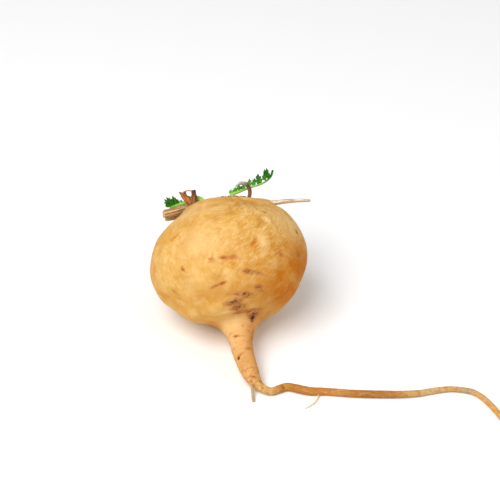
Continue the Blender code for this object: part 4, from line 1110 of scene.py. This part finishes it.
def build_leaf(name, route, blade, rib, start, seed, node, material):
    """A cut leaf: a grooved stalk with leaflets on both sides, folded upward."""
    draw = random.Random(seed)
    shape = Shape("tone", "side", "rise", "way", "dry", "cut")
    rib_shares, rib_tones, rib_widths = rib

    def section(angles, way, share):
        groove = 1.0 - 0.25 * np.exp(-0.5 * ((angles - math.pi / 2) / 0.5) ** 2)
        breadth = np.interp(share, rib_shares, rib_widths)[:, None]
        flat = np.maximum(1.0, breadth)
        oval = flat / np.sqrt(np.cos(angles)**2 + (flat * np.sin(angles))**2)
        return np.minimum(1.0, breadth) * oval * groove

    points = smooth_curve(route, 0.1)
    rod(shape, route, 0.3, 20, section, start=start, tones=(rib_shares, rib_tones))
    for share, length, lean, fold, tone in blade:
        for side in (-1, 1):
            index = min(len(points) - 2, int((share + draw.uniform(-0.008, 0.008)) * (len(points) - 1)))
            ahead = Vector(points[index + 1][:3] - points[index - 1][:3]).normalized()
            level = ahead.cross(Vector((0, 0, 1))).normalized() * side
            raised = (level.cross(ahead) * side).normalized()
            up = math.radians(fold + draw.uniform(-7, 7))
            outward = math.cos(up) * level + math.sin(up) * raised
            flat = math.cos(up) * raised - math.sin(up) * level
            forward = math.radians(lean + draw.uniform(-5, 5))
            way = (math.cos(forward) * outward + math.sin(forward) * ahead).normalized()
            flat = (flat - flat.dot(way) * way).normalized()
            base = np.array(points[index][:3]) + 0.1 * np.array(tuple(raised))
            dry = 0.9 if draw.random() < 0.25 else 0.0
            grown = length * draw.uniform(0.85, 1.0)
            leaflet(shape, base, np.array(tuple(way)), np.array(tuple(flat)), grown, tone, draw, dry)
    piece(name, shape, material, "leaf", node)


def build_stalks():
    """The dry stalks with their cut ends, the pale one and the hooked one."""
    draw = random.Random(SEED + 2)
    paints = {look: stalk_material(look) for look in STALK_LOOKS}

    def stalk(name, node, look, route, step, sides, section, tones=None):
        shape = Shape("side", "rise", "way", "cut", "tone")
        rod(shape, route, step, sides, section, cut=1.0, tones=tones)
        piece(name, shape, paints[look], look, node)

    for k, route in enumerate(DRY_STALKS, 1):
        section = ridged(draw, draw.uniform(1.02, 1.12), 0.2)
        stalk(f"straw_stalk_{k}", f"dry_stalk_{k}", "dry_stalk", route, 0.3, 40, section)
    stalk("whitish_stalk", "pale_stalk", "pale_stalk", PALE_STALK, 0.3, 28, ridged(draw, 0.94, 0.25))
    stalk("hooked_dark_stalk", "hooked_stalk", "dark_stalk", HOOKED_STALK, 0.2, 24, ridged(draw, 0.84, 0.3),
          HOOK_PALENESS)


def tatter_material():
    """A torn leaf base: reddish brown with amber streaks, and darker places."""
    paint = Paint("torn_leaf_base", 0.6, 0.3)
    fine, broad = fibrous(paint, 0.16), fibrous(paint, 0.6, 4.0)
    colour = paint.cover(srgb(128, 58, 20), srgb(200, 130, 44), broad, 0.42, 0.58)
    colour = paint.cover(colour, srgb(218, 160, 86), fine, 0.54, 0.72, 0.7)
    colour = paint.cover(colour, srgb(70, 32, 14), fine, 0.44, 0.28, 0.7)
    colour = paint.mix(paint.point_value("tone"), colour, srgb(52, 28, 16))
    return paint.finish(colour, paint.plus(fine, paint.times(broad, 0.8)), 0.14)


def build_tatter():
    """The torn leaf base: two upright arms grown together at the foot, and a thread between their tips."""
    shape = Shape("side", "way", "rise", "tone")
    for number, (arm, (turns, cup, tones)) in enumerate(zip(TATTER_ARMS, TATTER_LOOKS)):
        points = smooth_curve(arm, 0.2)
        way, share = stations(points[:, :3])
        turn = np.interp(share, (0, 1), turns)
        acrosses = np.column_stack([np.cos(turn), np.sin(turn), np.zeros(len(turn))])
        half_widths = points[:, 3] * ragged(way, 1.6, 5.0 * number, 0.16)
        ribbon(shape, points[:, :3], half_widths, acrosses, cup, 0.42, 11,
               tone=np.interp(share, TATTER_SHARES, tones)[:, None])
    rod(shape, TATTER_THREAD, 0.2, 8, tone=0.1)
    piece("torn_leaf_base", shape, tatter_material(), "dark_stalk", "dry_leaf_tatter")


def build_crown():
    """All the pieces in the crown's hollow."""
    build_tuft()
    build_heart()
    build_bud()
    green = leaf_material()
    build_leaf("right_leaf", LEAF_RIGHT_ROUTE, LEAF_RIGHT_BLADE, RIGHT_RIB, (0, 1, 0), 5, "leaf_right", green)
    build_leaf("left_leaf", LEAF_LEFT_ROUTE, LEAF_LEFT_BLADE, LEFT_RIB, (1, 0, 0), 8, "leaf_left", green)
    build_stalks()
    build_tatter()


def make_floor():
    """A plain pale floor."""
    mesh = bpy.data.meshes.new("floor")
    mesh.from_pydata([(-3, -3, 0), (3, -3, 0), (3, 3, 0), (-3, 3, 0)], [], [(0, 1, 2, 3)])
    floor = bpy.data.objects.new("floor", mesh)
    bpy.context.scene.collection.objects.link(floor)
    paint = Paint("floor_paint", 0.9, 0.0)
    cloud = paint.noise(60.0, 2.0)
    mesh.materials.append(paint.finish(paint.mix(cloud, (0.93, 0.93, 0.93), (0.94, 0.94, 0.94))))


def make_lights():
    """Soft light from the upper left and front, a weak one from the right, and a white surround."""
    scene = bpy.context.scene
    scene.view_settings.view_transform = "Standard"
    scene.world = bpy.data.worlds.new("surround")
    scene.world.use_nodes = True
    background = scene.world.node_tree.nodes["Background"]
    background.inputs["Color"].default_value = (1, 1, 1, 1)
    background.inputs["Strength"].default_value = SURROUND_STRENGTH
    for name, (place, power) in LIGHTS.items():
        light = bpy.data.lights.new(name, "AREA")
        light.size = LIGHT_SIZE
        light.energy = power
        lamp = bpy.data.objects.new(name, light)
        lamp.location = place
        lamp.rotation_euler = (Vector(LIGHT_AIM) - Vector(place)).to_track_quat("-Z", "Y").to_euler()
        scene.collection.objects.link(lamp)


def make_camera():
    """The camera at the photograph's viewing angle."""
    data = bpy.data.cameras.new("camera")
    data.sensor_width = 36.0
    data.lens = CAMERA_LENS
    camera = bpy.data.objects.new("camera", data)
    camera.location = CAMERA_PLACE
    camera.rotation_euler = Euler((math.radians(90 - CAMERA_HEIGHT_ANGLE), 0, 0))
    bpy.context.scene.collection.objects.link(camera)
    bpy.context.scene.camera = camera


make_camera()
make_floor()
make_lights()
build_root()
build_crown()
